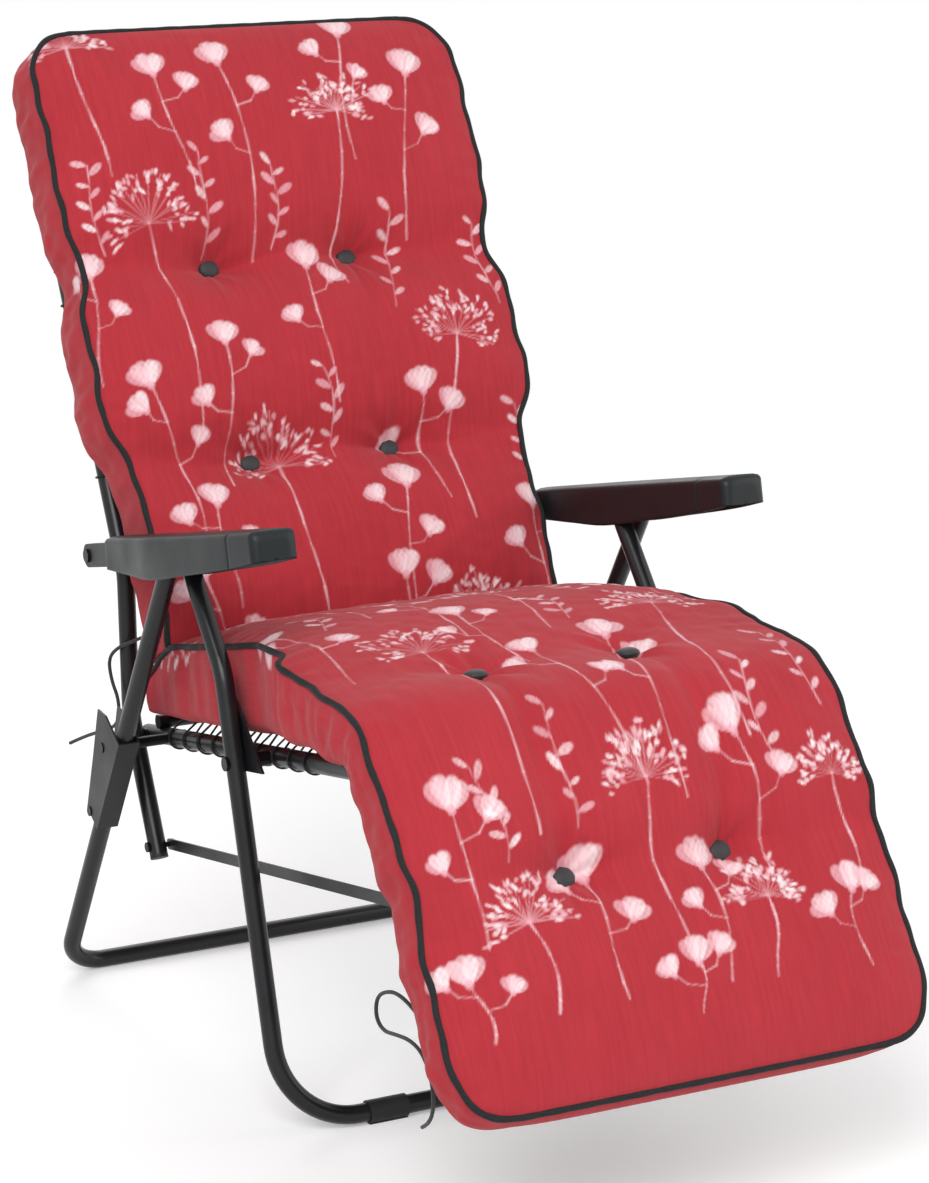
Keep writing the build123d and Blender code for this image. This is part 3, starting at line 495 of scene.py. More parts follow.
def paintPrint(across, down):
    paint = Paint(across, down)
    white, pale, pink, deep = (printColors[k] for k in ("white", "pale", "pink", "deep"))
    for n, (u, v, radius, lean, stem) in enumerate(map(inMetres, sprays)):
        rng = np.random.default_rng(100 + n)
        paint.stroke(stemPoints(u, v, lean, stem, n), 0.0026, pale, 0.72)
        for a in np.radians(lean) + np.linspace(-1.75, 1.75, 17) + rng.normal(0, 0.04, 17):
            reach = radius * rng.uniform(0.62, 1.0)
            tip = (u + np.sin(a) * reach, v - np.cos(a) * reach)
            paint.stroke(np.array([(u, v), tip]), 0.0012, pink, 0.5)
            for k in range(5):
                spot = rng.uniform(0.55, 1.08)
                swing = a + rng.normal(0, 0.09)
                pu, pv = u + np.sin(swing) * reach * spot, v - np.cos(swing) * reach * spot
                color = (white, white, pale, pink)[rng.integers(4)]
                paint.petal(pu, pv, rng.uniform(0.005, 0.010), rng.uniform(0.0026, 0.0046),
                            swing + rng.normal(0, 0.5), color, rng.uniform(0.55, 0.95), 0.2)
    for n, (u, v, size, lean, stem) in enumerate(map(inMetres, blossoms)):
        rng = np.random.default_rng(300 + n)
        line = stemPoints(u, v, lean, stem, n * 1.7)
        paint.stroke(line, 0.0024, pale, 0.62)
        heads = [(line[0], 1.0, 0.0)]
        for k in (2, 4):
            way = 1 if (n + k // 2) % 2 else -1
            tip = line[k] + np.array([way * rng.uniform(0.020, 0.032), -rng.uniform(0.010, 0.024)])
            bend = (line[k] + tip) / 2 + np.array([way * 0.004, 0.004])
            paint.stroke(np.array([line[k], bend, tip]), 0.0017, pale, 0.6)
            heads.append((tip, rng.uniform(0.6, 0.85), way * 0.5))
        for (hu, hv), scale, turn in heads:
            s = size * scale
            base = np.radians(lean) + turn
            for a, amount, color in ((-0.75, 0.75, pink), (0.75, 0.7, pale), (-0.36, 0.7, pale),
                                     (0.40, 0.75, white), (0.0, 0.7, pale)):
                b = base + a + rng.normal(0, 0.08)
                pu, pv = hu + np.sin(b) * s * 0.55, hv - np.cos(b) * s * 0.55
                paint.petal(pu, pv, s * 1.5, s * 0.72, b, color, amount)
            paint.petal(hu, hv + s * 0.1, s * 0.5, s * 0.42, base, deep, 0.7, 0.0)
            for k in range(4):
                b = base + rng.uniform(-0.6, 0.6)
                tip = (hu + np.sin(b) * s * 1.0, hv - np.cos(b) * s * 1.0)
                paint.stroke(np.array([(hu, hv), tip]), 0.0016, (deep, white)[k % 2], 0.55)
    for n, (u, v, length, lean) in enumerate(map(inMetres, sprigs)):
        rng = np.random.default_rng(500 + n)
        line = stemPoints(u, v, lean, length, n * 2.3)
        paint.stroke(line, 0.0018, pink, 0.65)
        for k, spot in enumerate(line[:-1]):
            way = 1 if k % 2 else -1
            a = np.radians(lean) + way * rng.uniform(0.7, 1.1)
            leaf = rng.uniform(0.012, 0.019)
            color = (white, pale, pink)[rng.integers(3)]
            pu, pv = spot[0] + np.sin(a) * leaf * 0.6, spot[1] - np.cos(a) * leaf * 0.6
            paint.petal(pu, pv, leaf, leaf * 0.42, a, color, rng.uniform(0.6, 0.9), 0.1)
    return paint


def clothMaterial():
    mat, tree, shader = newMaterial("redPrintedCloth")
    uv = addNode(tree, "ShaderNodeUVMap", uv_map="cloth")
    paintRead = addNode(tree, "ShaderNodeAttribute", attribute_name="printPaint")
    streakMap = addNode(tree, "ShaderNodeMapping")
    streakMap.inputs["Scale"].default_value = (260.0, 14.0, 1.0)
    link(tree, uv.outputs[0], streakMap.inputs["Vector"])
    streak = addNode(tree, "ShaderNodeTexNoise", Scale=1.0, Detail=3.0, Roughness=0.6)
    link(tree, streakMap.outputs[0], streak.inputs["Vector"])
    cloud = addNode(tree, "ShaderNodeTexNoise", Scale=9.0, Detail=4.0, Roughness=0.55)
    link(tree, uv.outputs[0], cloud.inputs["Vector"])
    red = mixColor(tree, cloud.outputs[0], (0.405, 0.022, 0.033, 1), (0.488, 0.034, 0.048, 1))
    slub = ramp(tree, streak.outputs[0], [(0.35, (0.88, 0.86, 0.86, 1)), (0.65, (1.0, 1.0, 1.0, 1))])
    shade = addNode(tree, "ShaderNodeMix", data_type="RGBA", blend_type="MULTIPLY")
    shade.inputs[0].default_value = 1.0
    link(tree, red, shade.inputs[6])
    link(tree, slub, shade.inputs[7])
    color = mixColor(tree, paintRead.outputs["Alpha"], shade.outputs[2], paintRead.outputs["Color"])
    link(tree, color, shader.inputs["Base Color"])
    setInputs(shader, {"Roughness": 0.88, "Sheen Weight": 0.10, "Sheen Roughness": 0.5,
                       "Specular IOR Level": 0.25})
    threads = []
    for direction in ("X", "Y"):
        wave = addNode(tree, "ShaderNodeTexWave", bands_direction=direction, Scale=330.0, Distortion=0.6)
        wave.inputs["Detail"].default_value = 1.0
        link(tree, uv.outputs[0], wave.inputs["Vector"])
        threads.append(wave.outputs["Fac"])
    weave = mathNode(tree, "MAXIMUM", *threads)
    lint = addNode(tree, "ShaderNodeTexNoise", Scale=420.0, Detail=2.0)
    link(tree, uv.outputs[0], lint.inputs["Vector"])
    height = mathNode(tree, "ADD", weave, lint.outputs[0])
    bumpFrom(tree, shader, height, 0.35, 0.0004)
    return mat


redCloth = clothMaterial()
blackPiping = darkThread(
    "blackPiping", 700.0, 3.0, [(0.3, (0.008, 0.008, 0.009, 1)), (0.8, (0.026, 0.026, 0.028, 1))],
    (0.4, 0.0004), {"Roughness": 0.72, "Sheen Weight": 0.03, "Specular IOR Level": 0.2})


def sidePlane(stations, origin, ahead, ups):
    # bottom and top lines of a pad in the side view, from its stations
    run = stations[:, :1] / 10
    low = origin + run * ahead + stations[:, 1:2] / 10 * ups
    high = origin + run * ahead + stations[:, 2:3] / 10 * ups
    return low, high


padRings = {}


def buildPad(name, low, high, stations, runs, rows, seed, clothDown, sense, overKnee=False):
    # pad as rings of top, side, bottom and side, one for each run along the cushion, rounded at its last end
    c = cushion
    corner, fade, last = c["endCorner"], c["endFade"], runs[-1]
    crown, half = stations[:, 3] / 10, stations[:, 4] / 10
    s = np.linspace(0, last, int(round(last / c["spacing"])))
    bend = np.linspace(0, np.pi / 2, 40)[1:]
    s = np.concatenate([s[s < last - corner], last - corner + corner * np.sin(bend)])
    bottomLine, topLine = hermite(s, runs, low), hermite(s, runs, high)
    up = topLine - bottomLine
    thick = np.linalg.norm(up, axis=1)
    up /= thick[:, None]
    plain = hermite(s, runs, half)
    w = plain.copy()
    for row, trough, _ in rows:
        w -= c["rowPinch"][0] * trough * np.exp(-((s - row) / c["rowPinch"][1]) ** 2)
    if overKnee:
        legPass = np.interp(c["legPassRun"], stations[:, 0], runs)
        w -= c["legPass"][0] * np.exp(-((s - legPass) / c["legPass"][1]) ** 2)
    w += c["waver"][0] * np.sin(s * 71 + seed) + c["waver"][1] * np.sin(s * 133 + seed)
    near = np.clip((s - (last - corner)) / corner, 0, 1)
    w -= corner * (1 - np.sqrt(1 - near ** 2))
    endFade = np.sqrt(np.clip(1 - np.clip((s - (last - fade)) / fade, 0, 1) ** 3.0, 0, 1))
    nTop = int(round(2 * half.max() / c["spacing"]))
    nSide, nLow = 22, 18
    across = np.linspace(-1, 1, nTop + 1)
    x = across[None, :] * w[:, None]
    lift = hermite(s, runs, crown)[:, None] + c["lift"]
    filled = np.clip(1 - np.abs(across) ** 5, 0, 1)[None, :] ** 0.75
    relief = reliefOver(x, s[:, None] + 0 * x, w[:, None], rows, seed, overKnee)
    top = thick[:, None] + (lift * filled + relief * np.clip(filled * 1.6, 0, 1)) * endFade[:, None]
    v = np.linspace(1, 0, nSide + 1)[None, 1:]
    crumple = c["crumple"][0] * np.sin(s * 95 + 2 * np.sin(s * 31 + seed))[:, None] * np.sin(np.pi * v)
    crumple = crumple + c["crumple"][1] * fineWaves(s[:, None] * 1.3 + 0 * v, v * 0.05 + seed)
    swell = c["bulge"] * np.sin(np.pi * np.clip(v, 0, 1)) ** 0.7 + crumple * np.sin(np.pi * v)
    # beside the armrests and the folding legs the sides swell less
    slimFrom, slimOver = c["slimSpan"]
    slim = c["slimSides"] + (1 - c["slimSides"]) * np.clip((plain - slimFrom) / slimOver, 0, 1)
    swell = swell * slim[:, None]
    sideX = w[:, None] + swell - c["tuck"] * np.clip(1 - v / 0.16, 0, 1) ** 2
    sideH = thick[:, None] * v
    sideU = w[:, None] + thick[:, None] * (1 - v)
    back = np.linspace(1, -1, nLow + 1)[None, 1:-1]
    backX = back * (w[:, None] - c["tuck"])
    backU = (w + thick)[:, None] + (1 - back) * w[:, None]
    rings = (x, sideX, backX, -sideX[:, ::-1])
    heights = (top, sideH, np.zeros_like(backX), sideH[:, ::-1])
    uAcross = (x, sideU, backU, -sideU[:, ::-1])
    x, h, u = (np.concatenate(part, 1) for part in (rings, heights, uAcross))
    flat = bottomLine[:, None, :] + up[:, None, :] * h[:, :, None]
    points = np.dstack([x, flat])
    padRings[name] = (s, points[:, :nTop + 1], up)
    down = clothDown(s)[:, None] + 0 * x
    quads = gridFaces(len(s), x.shape[1], wrap=True)
    slots = np.zeros(len(quads))
    pts, uv = points.reshape(-1, 3), np.dstack([u, down]).reshape(-1, 2)
    # closed ends: each grid starts on its ring's own top and side points and swells between them
    fall = np.linspace(0, 1, nSide + 1)[:, None]
    cap = across[None, :]
    for which, k in ((0, 0), (1, len(s) - 1)):
        ring = points[k]
        right = ring[nTop:nTop + nSide + 1]
        left = np.vstack([ring[:1], ring[:-nSide - 1:-1]])
        grid = (left[:, None] * (1 - cap[..., None]) + right[:, None] * (1 + cap[..., None])) / 2
        grid += (ring[:nTop + 1] - grid[0])[None] * ((1 - fall) ** 2)[..., None]
        direction = unit(bottomLine[k] - bottomLine[k - 1] if which else bottomLine[0] - bottomLine[1])
        puff = c["endPuff"][which] * np.sin(np.pi * fall) * (1 - cap ** 8)
        grid[..., 1:] += direction * puff[..., None]
        faces = gridFaces(nSide + 1, nTop + 1, first=len(pts))
        if not which:
            faces = faces[:, ::-1]
        step = 1 if which else -1
        capUv = np.dstack([grid[..., 0], clothDown(s[k:k + 1])[0] - step * fall * thick[k] * sense + 0 * cap])
        pts = np.vstack([pts, grid.reshape(-1, 3)])
        uv = np.vstack([uv, capUv.reshape(-1, 2)])
        quads = np.vstack([quads, faces])
        slots = np.concatenate([slots, np.zeros(len(faces))])
    if np.dot(np.cross([1, 0, 0], np.append(0, topLine[-1] - topLine[-2])), np.append(0, up[-1])) < 0:
        quads = quads[:, ::-1]
    # piping along both top edges and round the free end
    outwards = np.array([c["pipingOut"], 0.0, 0.0])
    end = topLine[-1] + c["pipingAhead"] * unit(topLine[-1] - topLine[-2])
    acrossEnd = np.linspace(-1, 1, 90)[1:-1]
    endLine = np.column_stack([acrossEnd * w[-1], np.tile(end, (len(acrossEnd), 1))])
    route = np.vstack([points[:, 0] - outwards, endLine, (points[:, nTop] + outwards)[::-1]])
    keep = np.concatenate([[True], np.linalg.norm(np.diff(route, axis=0), axis=1) > 1e-5])
    route = route[keep]
    length = np.concatenate([[0], np.cumsum(np.linalg.norm(np.diff(route, axis=0), axis=1))])
    even = np.linspace(0, length[-1], int(length[-1] / c["pipingStep"]))
    route = np.stack([np.interp(even, length, route[:, i]) for i in range(3)], 1)
    wobble = c["piping"] * (1 + 0.05 * np.sin(even * 210) + 0.04 * np.sin(even * 87 + 1))
    tube, faces = tubeAlong(route, wobble, 10)
    quads = np.vstack([quads, faces + len(pts)])
    slots = np.concatenate([slots, np.ones(len(faces))])
    pts = np.vstack([pts, tube])
    # the piping takes its cloth far from the print, so that none is painted on it
    uv = np.vstack([uv, np.tile([[0.0, -5.0]], (len(tube), 1))])
    piece = meshPiece(name, pts, quads, [redCloth, blackPiping], slots, uv)
    paint = paintPrint(uv[:, 0], uv[:, 1])
    layer = piece.data.color_attributes.new("printPaint", "FLOAT_COLOR", "POINT")
    rgba = np.hstack([paint.rgb, paint.cover[:, None]]).astype(np.float32)
    layer.data.foreach_set("color", rgba.ravel())
    closeSeams(piece, False)
    print(name, len(pts), "points")
    return piece


def sideRuns(low, high):
    middle = (low + high) / 2
    return np.concatenate([[0], np.cumsum(np.linalg.norm(np.diff(middle, axis=0), axis=1))])


# back pad runs from the crease to the top; the cloth is measured down from its top end
low, high = sidePlane(backStations, armPivot, backAhead, backFront)
backRuns = sideRuns(low, high)
backLength = backRuns[-1]
rowRuns = [(float(np.interp(r, backStations[:, 0], backRuns)), 1.0, 1.0) for r in (0.69, 2.98)]
backPad = buildPad("backPad", low, high, backStations, backRuns, rowRuns, 1, lambda s: backLength - s, -1)
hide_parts("cushion_back")


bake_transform(backPad)

# seat and leg pads are one piece over the knee
seatUps = np.tile(railUp, (len(seatStations), 1))
seatUps[-1] = kneeUp
legUps = np.tile(legUp, (len(legStations), 1))
legUps[0] = kneeUp
seatLow, seatHigh = sidePlane(seatStations, hinge, railAhead, seatUps)
legLow, legHigh = sidePlane(legStations, hinge, legAhead, legUps)
wholeLow, wholeHigh = np.vstack([seatLow, legLow[1:]]), np.vstack([seatHigh, legHigh[1:]])
wholeRuns = sideRuns(wholeLow, wholeHigh)
wholeStations = np.vstack([seatStations, legStations[1:]])
wholeRows = [(float(np.interp(r, wholeStations[:, 0], wholeRuns)), trough, tuft)
             for r, trough, tuft in ((-0.44, 0.10, 0.50), (1.40, 0.55, 0.90))]
seatPad = buildPad("seatAndLegPad", wholeLow, wholeHigh, wholeStations, wholeRuns, wholeRows, 2,
                   lambda s: backLength + s, 1, overKnee=True)
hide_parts("cushion_seat", "cushion_leg")
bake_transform(seatPad)
print("pads made")


# buttons: cloth drawn over a dome, turned about the pad's own upward direction
buttonShape = {"radius": 0.0124, "dome": 0.0070, "skirt": 0.006, "lift": 0.0050, "rim": 0.0012,
               "gathers": 11, "gatherDepth": 0.012, "sides": 40}


buttonCloth = darkThread(
    "buttonCloth", 1100.0, 2.0, [(0.3, (0.007, 0.008, 0.009, 1)), (0.8, (0.022, 0.024, 0.027, 1))],
    (0.5, 0.0003), {"Roughness": 0.6, "Sheen Weight": 0.2})


def buttonsOn(name, padName, rows, node, body):
    # profile of radius and height, carried round, with gathers that die out towards the middle
    b = buttonShape
    t = np.linspace(0, 1, 14)
    radius = np.concatenate([np.sin(t * np.pi / 2) * b["radius"], [b["radius"] * 0.93, b["radius"] * 0.8]])
    height = np.concatenate([np.cos(t * np.pi / 2) ** 0.8 * b["dome"], [-b["rim"], -b["skirt"]]])
    angle = np.arange(b["sides"]) / b["sides"] * 2 * np.pi
    outer = (radius / b["radius"])[:, None] ** 2
    gather = 1 + b["gatherDepth"] * np.cos(b["gathers"] * angle)[None, :] * outer
    s, grid, up = padRings[padName]
    allPoints, allQuads, total = [], [], 0
    for row, _, _ in rows:
        for side in (1, -1):
            k = int(np.argmin(np.abs(s - row)))
            m = int(np.argmin(np.abs(grid[k, :, 0] - side * cushion["buttonAcross"])))
            n = np.append(0, up[k])
            rim = grid[k, m] + n * b["lift"]
            e1 = np.array([1.0, 0.0, 0.0])
            e2 = np.cross(n, e1)
            ring = np.cos(angle)[None, :, None] * e1 + np.sin(angle)[None, :, None] * e2
            pts = rim + ring * (radius[:, None] * gather)[:, :, None] + n * height[:, None, None]
            allPoints.append(pts.reshape(-1, 3))
            allQuads.append(gridFaces(len(radius), b["sides"], wrap=True, first=total)[:, ::-1])
            total += pts.shape[0] * pts.shape[1]
    piece = meshPiece(name, np.vstack(allPoints), np.vstack(allQuads), [buttonCloth])
    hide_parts(node)
    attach(piece, body)


buttonsOn("backButtons", "backPad", rowRuns, "buttons_back", "back")
buttonsOn("seatButtons", "seatAndLegPad", wholeRows[:1], "buttons_seat", "seat")
buttonsOn("legButtons", "seatAndLegPad", wholeRows[1:], "buttons_leg", "legrest")
print("buttons made")


# finishes of the frame, slings and armrests, on the solids' own places
def satinBlack(name, base, rough, grain, depth, values=()):
    mat, tree, shader = newMaterial(name)
    place = addNode(tree, "ShaderNodeTexCoord")
    fine = addNode(tree, "ShaderNodeTexNoise", Scale=grain, Detail=3.0)
    broad = addNode(tree, "ShaderNodeTexNoise", Scale=18.0, Detail=4.0)
    for noise in (fine, broad):
        link(tree, place.outputs["Object"], noise.inputs["Vector"])
    dark = tuple(v * 0.75 for v in base) + (1,)
    light = tuple(v * 1.35 for v in base) + (1,)
    link(tree, mixColor(tree, broad.outputs[0], dark, light), shader.inputs["Base Color"])
    worn = [(0.3, (rough - 0.06,) * 3 + (1,)), (0.75, (rough + 0.10,) * 3 + (1,))]
    link(tree, ramp(tree, broad.outputs[0], worn), shader.inputs["Roughness"])
    setInputs(shader, {"Specular IOR Level": 0.28, **dict(values)})
    bumpFrom(tree, shader, fine.outputs[0], 0.25, depth)
    return mat


tubePaint = satinBlack("satinTubePaint", (0.010, 0.0105, 0.012), 0.30, 1400.0, 0.0002, {"Coat Weight": 0.06})
sheetPaint = satinBlack("satinSheetPaint", (0.012, 0.0125, 0.014), 0.38, 1200.0, 0.0002)
fastenerBlack = satinBlack("blackFasteners", (0.010, 0.010, 0.011), 0.34, 2200.0, 0.0001, {"Metallic": 0.6})
footPlastic = satinBlack("footPlastic", (0.013, 0.0135, 0.015), 0.52, 1800.0, 0.0003)
armPlastic = satinBlack("armrestPlastic", (0.0075, 0.0105, 0.0115), 0.42, 1500.0, 0.0003)


def slingMaterial(name, scale, dark, light):
    mat, tree, shader = newMaterial(name)
    place = addNode(tree, "ShaderNodeTexCoord")
    threads = []
    for direction in ("X", "Z"):
        wave = addNode(tree, "ShaderNodeTexWave", bands_direction=direction, Scale=scale, Distortion=0.4)
        link(tree, place.outputs["Object"], wave.inputs["Vector"])
        threads.append(wave.outputs["Fac"])
    weave = mathNode(tree, "MULTIPLY", *threads)
    link(tree, mixColor(tree, weave, dark, light), shader.inputs["Base Color"])
    setInputs(shader, {"Roughness": 0.7, "Sheen Weight": 0.03, "Specular IOR Level": 0.2})
    bumpFrom(tree, shader, weave, 0.6, 0.0006)
    return mat


slingWeave = slingMaterial("slingWeave", 160.0, (0.006, 0.006, 0.007, 1), (0.030, 0.031, 0.034, 1))
lacingCord = slingMaterial("lacingCord", 320.0, (0.010, 0.010, 0.011, 1), (0.040, 0.041, 0.045, 1))

slotFinish = {"black_tube": tubePaint, "black_sheet": sheetPaint, "black_fasteners": fastenerBlack,
              "foot_plastic": footPlastic, "armrest_plastic": armPlastic, "sling_fabric": slingWeave,
              "lacing_cord": lacingCord}
for part in record["subparts"]:
    finish = slotFinish.get(part["material_slot"])
    if finish is None:
        continue
    mesh = nodes[part["node"]].data
    mesh.materials.clear()
    mesh.materials.append(finish)
print("finishes given to the frame")


# slings: a stretched sheet between two bars, hemmed round both, in metres in the side view
slingFacts = {"sheet": 0.0012, "rows": 121, "cols": 81, "scallop": 0.0035, "corner": 0.010, "ripple": 0.0008,
              "hem": 0.0010, "hemGap": 0.00012, "hemSides": 48, "pitch": 0.040, "cord": 0.0012,
              "clear": 1.15, "laceEnd": 0.058, "laceLift": 0.0022, "wrapShare": 0.10, "inward": 0.0045}
# both bars, their radii, front direction, half width, hem half width, side tube's x and radius, drop
slingTables = {
    "seat": ((0.17716, 0.32823), (-0.29370, 0.42088), (0.008, 0.008), railUp,
             0.184, 0.138, 0.208, 0.010, 0.0245),
    "back": ((0.25355, 0.55483), (0.49864, 1.01345), (0.008, 0.010), backFront,
             0.208, 0.162, 0.232, 0.010, 0.0100),
    "legrest": ((-0.43379, 0.37306), (-0.57211, 0.17569), (0.008, 0.010), legUp,
                0.184, 0.138, 0.208, 0.010, 0.0100),
}


def inRow(y, z):
    return np.array([y + tieFacts["shift"], z])


def makeSling(part):
    f = slingFacts
    first, last, (r1, r2), front, half, hem, tubeX, tubeR, drop = slingTables[part]
    level = f["sheet"] / 2
    a, b = inRow(*first), inRow(*last)
    start, end = a + front * (r1 + level), b + front * (r2 + level)
    ahead = unit(end - start)
    up = np.array([-ahead[1], ahead[0]])
    up = up if up @ front > 0 else -up
    length = np.linalg.norm(end - start)
    # the sheet's edge runs out to each eyelet and in between them
    rows, cols = f["rows"], f["cols"]
    run = np.linspace(0, length, rows)
    share = np.clip((run - f["pitch"] / 2) / f["pitch"], 0, None)
    edge = half - f["scallop"] * np.sin(np.pi * share) ** 2
    edge -= f["corner"] * (np.exp(-run / f["corner"]) + np.exp(-(length - run) / f["corner"]))
    across = np.linspace(-1, 1, cols)
    x = across[None, :] * edge[:, None]
    ripple = f["ripple"] * np.sin(2 * np.pi * share)[:, None] * np.abs(across[None, :]) ** 8
    layers = []
    for side in (1, -1):
        lift = ripple + side * level
        flat = start + run[:, None, None] * ahead + lift[:, :, None] * up
        layers.append(np.dstack([x, flat]).reshape(-1, 3))
    count = rows * cols
    top = gridFaces(rows, cols)
    grid = np.arange(count).reshape(rows, cols)
    rim = np.concatenate([grid[0, :], grid[1:, -1], grid[-1, -2::-1], grid[-2:0:-1, 0]])
    around = np.roll(rim, -1)
    walls = np.stack([rim, around, around + count, rim + count], 1)
    faces = np.vstack([top, top[:, ::-1] + count, walls[:, ::-1]])
    points = np.vstack(layers)
    e1, e2 = points[cols] - points[0], points[1] - points[0]
    if np.dot(np.cross(e2, e1), np.append(0, up)) <= 0:
        faces = faces[:, ::-1]
    sheet = meshPiece(part + "Sling", points, faces, [slingWeave])
    # hems: thin sleeves sewn round the bars
    sides = f["hemSides"]
    angle = np.arange(sides) / sides * 2 * np.pi
    around = np.cos(angle)[:, None] * ahead + np.sin(angle)[:, None] * up
    allPoints, allFaces, total = [], [], 0
    for centre, radius in ((a, r1), (b, r2)):
        for hx, wall in ((-hem, f["hemGap"]), (-hem, f["hem"]), (hem, f["hem"]), (hem, f["hemGap"])):
            allPoints.append(np.column_stack([np.full(sides, hx), centre + (radius + wall) * around]))
        near = np.arange(4 * sides).reshape(4, sides)
        far = np.roll(near, -1, 0)
        quads = np.stack([near, np.roll(near, -1, 1), np.roll(far, -1, 1), far], -1).reshape(-1, 4)
        allFaces.append(quads + total)
        total += 4 * sides
    hems = meshPiece(part + "SlingHems", np.vstack(allPoints), np.vstack(allFaces), [slingWeave])
    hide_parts(part + "_sling")
    for piece in (sheet, hems):
        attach(piece, part)
    # lacing: one cord a side, through each eyelet and round the tube between them
    reach = tubeR + f["cord"] * f["clear"]
    laceFrom, laceTo = f["pitch"] / 2, length - f["laceEnd"]
    steps = max(1, int(round((laceTo - laceFrom) / f["pitch"])))
    allPoints, allFaces, total = [], [], 0
    for side in (1, -1):
        inwards = tubeX - half + f["inward"]
        out = np.hypot(inwards, drop)
        toEyelet, opening = np.arctan2(drop, inwards), np.arccos(reach / out)
        turn = np.linspace(toEyelet + opening, toEyelet + 2 * np.pi - opening, 16)
        route = []
        for i in range(steps + 1):
            along = laceFrom + (laceTo - laceFrom) * i / steps
            eyelet = start + along * ahead
            for lift in (-f["laceLift"], f["laceLift"])[:2 if i < steps else 1]:
                route.append(np.append(side * (half - f["inward"]), eyelet + lift * up))
            if i == steps:
                break
            middle = along + (laceTo - laceFrom) / steps * (0.5 + f["wrapShare"] * np.linspace(-1, 1, 16))
            for angleOn, m in zip(turn, middle):
                place = start + m * ahead - (drop + level) * up + reach * np.sin(angleOn) * up
                route.append(np.append(side * (tubeX - reach * np.cos(angleOn)), place))
        tube, quads = tubeAlong(np.array(route), f["cord"], 6)
        allPoints.append(tube)
        allFaces.append(quads + total)
        total += len(tube)
    cord = meshPiece(part + "Lacing", np.vstack(allPoints), np.vstack(allFaces), [lacingCord])
    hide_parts(part + "_lacing")
    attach(cord, part)
    print(part, "sling flat size", round(2 * half, 3), "by", round(float(length), 3))


for part in slingTables:
    makeSling(part)
print("slings made")


# armrests: hollow mouldings open below, with rounded edges, a collar line and a rounded nose
armrest = {
    "axis": inRow(0.23308, 0.51244),
    "ahead": np.array([-0.97358, 0.22835]), "up": np.array([0.22835, 0.97358]),
    "inner": 0.2427, "rear": 0.084, "run": 0.424, "above": 0.0175, "wall": 0.0025, "round": 0.0065,
    "shares": (0.0, 0.2, 0.36, 0.62, 0.86, 1.0), "widths": (0.040, 0.047, 0.054, 0.054, 0.051, 0.048),
    "depths": (0.016, 0.0225, 0.027, 0.023, 0.01775, 0.0125), "collar": 0.862, "collarDepth": 0.0012,
    "collarSpread": 0.0035, "noseRound": 0.005, "noseShrinks": (0.75, 0.45, 0.15, 0.0), "crown": 0.0012,
}


def armSection(low, high, near, far, rounding, crown):
    # open section from the inner lower edge over the top to the outer lower edge, as x and height
    bend = np.linspace(0, np.pi / 2, 8)
    rise = np.linspace(low, high - rounding, 12)[:-1]
    flat = np.linspace(near + rounding, far - rounding, 15)[1:-1]
    x = np.concatenate([0 * rise + near, near + rounding * (1 - np.cos(bend)), flat,
                        far - rounding * (1 - np.sin(bend)), 0 * rise + far])
    top = high + crown * (1 - (2 * (flat - near) / (far - near) - 1) ** 2)
    h = np.concatenate([rise, high - rounding * (1 - np.sin(bend)), top,
                        high - rounding * (1 - np.cos(bend)), rise[::-1]])
    return x, h


def makeArmrest(name, node, side):
    a = armrest
    shares = np.concatenate([np.linspace(0, 1, 90), a["collar"] + np.array([-0.006, -0.002, 0.002, 0.006])])
    shares = np.sort(shares)
    width = hermite(shares, np.array(a["shares"]), np.array(a["widths"]))
    depth = hermite(shares, np.array(a["shares"]), np.array(a["depths"]))
    groove = a["collarDepth"] * np.exp(-((shares - a["collar"]) / a["collarSpread"]) ** 2)
    run = a["rear"] + a["run"] * shares
    nose = np.clip((run - (run[-1] - a["noseRound"])) / a["noseRound"], 0, 1)
    inset = a["noseRound"] * (1 - np.sqrt(1 - nose ** 2 * 0.999))
    outer, inner = [], []
    wall = a["wall"]
    for r, w, d, g, i in zip(run, width, depth, groove, inset):
        outer.append((r, armSection(-d, a["above"] - g - i, g + i, w - g - i, a["round"], a["crown"])))
        inner.append((min(r, run[-1] - wall),
                      armSection(-d, a["above"] - wall, wall, w - wall, a["round"] - wall, a["crown"])))
    surfaces = []
    for rings in (outer, inner):
        r, (x, h) = rings[-1]
        middle = (x[0] + x[-1]) / 2
        nose = [(r, (middle + (x - middle) * k, h[0] + (h - h[0]) * k)) for k in a["noseShrinks"]]
        grid = []
        for r, (x, h) in rings + nose:
            place = a["axis"] + r * a["ahead"] + h[:, None] * a["up"]
            grid.append(np.column_stack([side * (a["inner"] + x), place]))
        surfaces.append(np.array(grid))
    rows, cols = surfaces[0].shape[:2]
    count = rows * cols
    points = np.vstack([g.reshape(-1, 3) for g in surfaces])
    skin = gridFaces(rows, cols)
    grid = np.arange(count).reshape(rows, cols)
    rims = []
    for line, flip in ((grid[:, 0], False), (grid[:, -1], True), (grid[0, :], True)):
        wall = np.stack([line[:-1], line[1:], line[1:] + count, line[:-1] + count], 1)
        rims.append(wall[:, ::-1] if flip else wall)
    faces = np.vstack([skin, skin[:, ::-1] + count] + rims)
    if side < 0:
        faces = faces[:, ::-1]
    piece = meshPiece(name, points, faces, [armPlastic])
    closeSeams(piece, True)
    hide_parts(node)
    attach(piece, "armrests")


makeArmrest("armrestLeft", "armrest_left", 1)
makeArmrest("armrestRight", "armrest_right", -1)
print("armrests made")


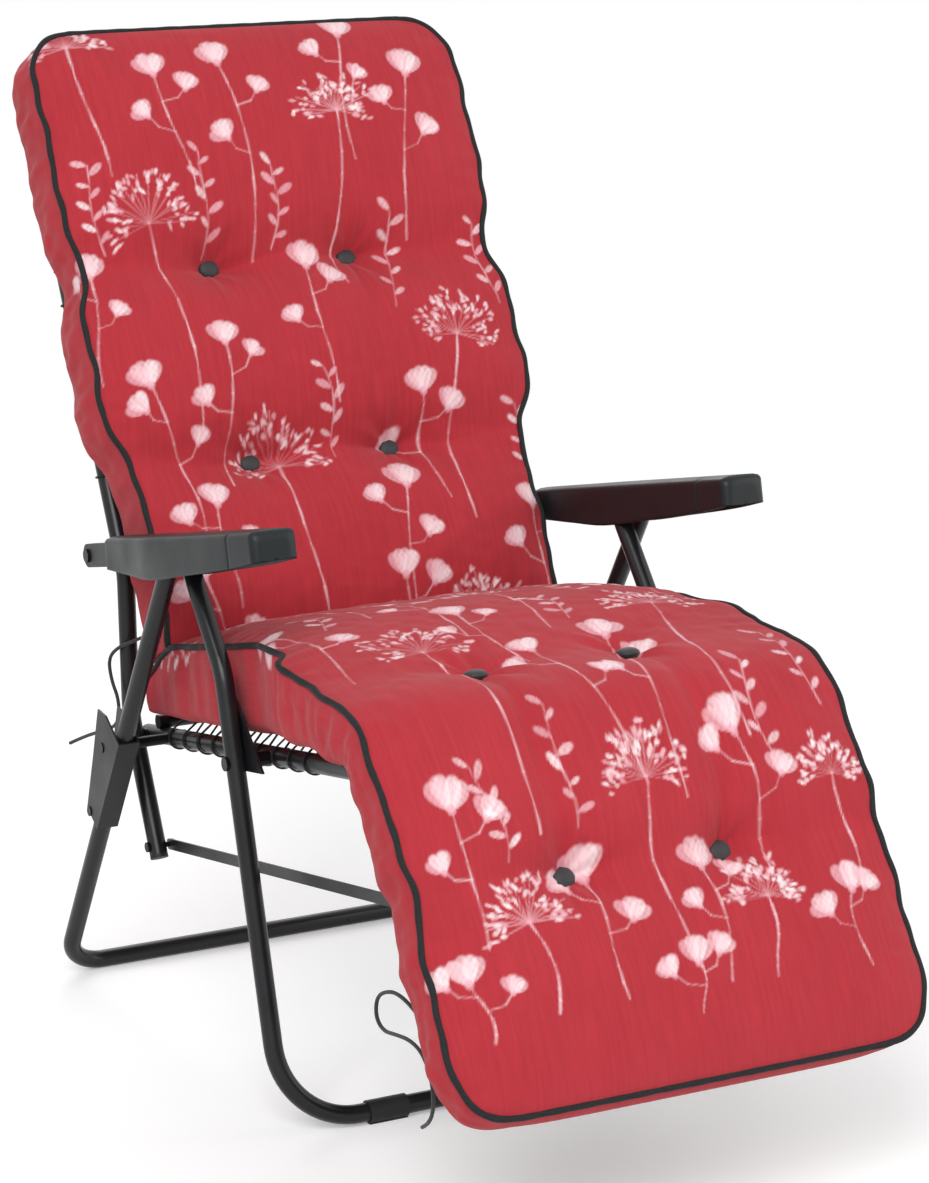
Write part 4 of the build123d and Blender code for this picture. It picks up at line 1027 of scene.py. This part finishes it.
# floor, backdrop and lights
studio = {
    "floorSize": 30.0,
    "key": {"place": (-2.2, -2.6, 3.2), "aim": (0, 0, 0.5), "size": 2.4, "power": 120},
    "fill": {"place": (2.8, -2.0, 2.0), "aim": (0, 0, 0.5), "size": 2.8, "power": 45},
    "rear": {"place": (0.5, 3.0, 2.6), "aim": (0, 0, 0.6), "size": 2.4, "power": 40},
    "sky": 0.62,
    "floorGlow": 0.24,
    "fade": (1.0, 3.2),
}


def seenPlainly(tree):
    # one for the rays to which floor and world are the plain backdrop
    path = addNode(tree, "ShaderNodeLightPath")
    seen = path.outputs["Is Camera Ray"]
    for ray in ("Is Glossy Ray", "Is Transmission Ray"):
        seen = mathNode(tree, "MAXIMUM", seen, path.outputs[ray])
    return seen


def makeStudio(s):
    half = s["floorSize"] / 2
    mat, tree, shader = newMaterial("paleFloor")
    seen = seenPlainly(tree)
    setInputs(shader, {"Base Color": (0.86, 0.86, 0.86, 1), "Roughness": 0.9, "Emission Color": (1, 1, 1, 1)})
    link(tree, mathNode(tree, "MULTIPLY", seen, s["floorGlow"]), shader.inputs["Emission Strength"])
    # the floor fades to plain white away from the chair, so that no horizon shows
    place = addNode(tree, "ShaderNodeTexCoord")
    away = addNode(tree, "ShaderNodeVectorMath", operation="LENGTH")
    link(tree, place.outputs["Object"], away.inputs[0])
    near, far = s["fade"]
    share = addNode(tree, "ShaderNodeMapRange", interpolation_type="SMOOTHSTEP")
    setInputs(share, {"From Min": near, "From Max": far})
    link(tree, away.outputs["Value"], share.inputs["Value"])
    white = addNode(tree, "ShaderNodeEmission", Strength=1.0)
    fade = tree.nodes.new("ShaderNodeMixShader")
    link(tree, mathNode(tree, "MULTIPLY", share.outputs[0], seen), fade.inputs[0])
    link(tree, shader.outputs[0], fade.inputs[1])
    link(tree, white.outputs[0], fade.inputs[2])
    out = next(n for n in tree.nodes if n.type == "OUTPUT_MATERIAL")
    link(tree, fade.outputs[0], out.inputs[0])
    floor = meshPiece("floor", [(-half, -half, 0), (half, -half, 0), (half, half, 0), (-half, half, 0)],
                      [(0, 1, 2, 3)], [mat])
    world = bpy.data.worlds.new("studio")
    world.use_nodes = True
    tree = world.node_tree
    tree.nodes.clear()
    out = tree.nodes.new("ShaderNodeOutputWorld")
    sky = addNode(tree, "ShaderNodeBackground", Strength=s["sky"])
    white = addNode(tree, "ShaderNodeBackground", Strength=1.0)
    setInputs(white, {"Color": (1, 1, 1, 1)})
    mix = tree.nodes.new("ShaderNodeMixShader")
    link(tree, seenPlainly(tree), mix.inputs[0])
    link(tree, sky.outputs[0], mix.inputs[1])
    link(tree, white.outputs[0], mix.inputs[2])
    link(tree, mix.outputs[0], out.inputs[0])
    scene.world = world
    for name in ("key", "fill", "rear"):
        facts = s[name]
        light = bpy.data.lights.new(name, "AREA")
        light.size = facts["size"]
        light.energy = facts["power"]
        lamp = bpy.data.objects.new(name, light)
        scene.collection.objects.link(lamp)
        lamp.location = facts["place"]
        aim = Vector(facts["aim"]) - Vector(facts["place"])
        lamp.rotation_euler = aim.to_track_quat("-Z", "Y").to_euler()


makeStudio(studio)
scene.view_settings.view_transform = "Standard"
print("studio set")
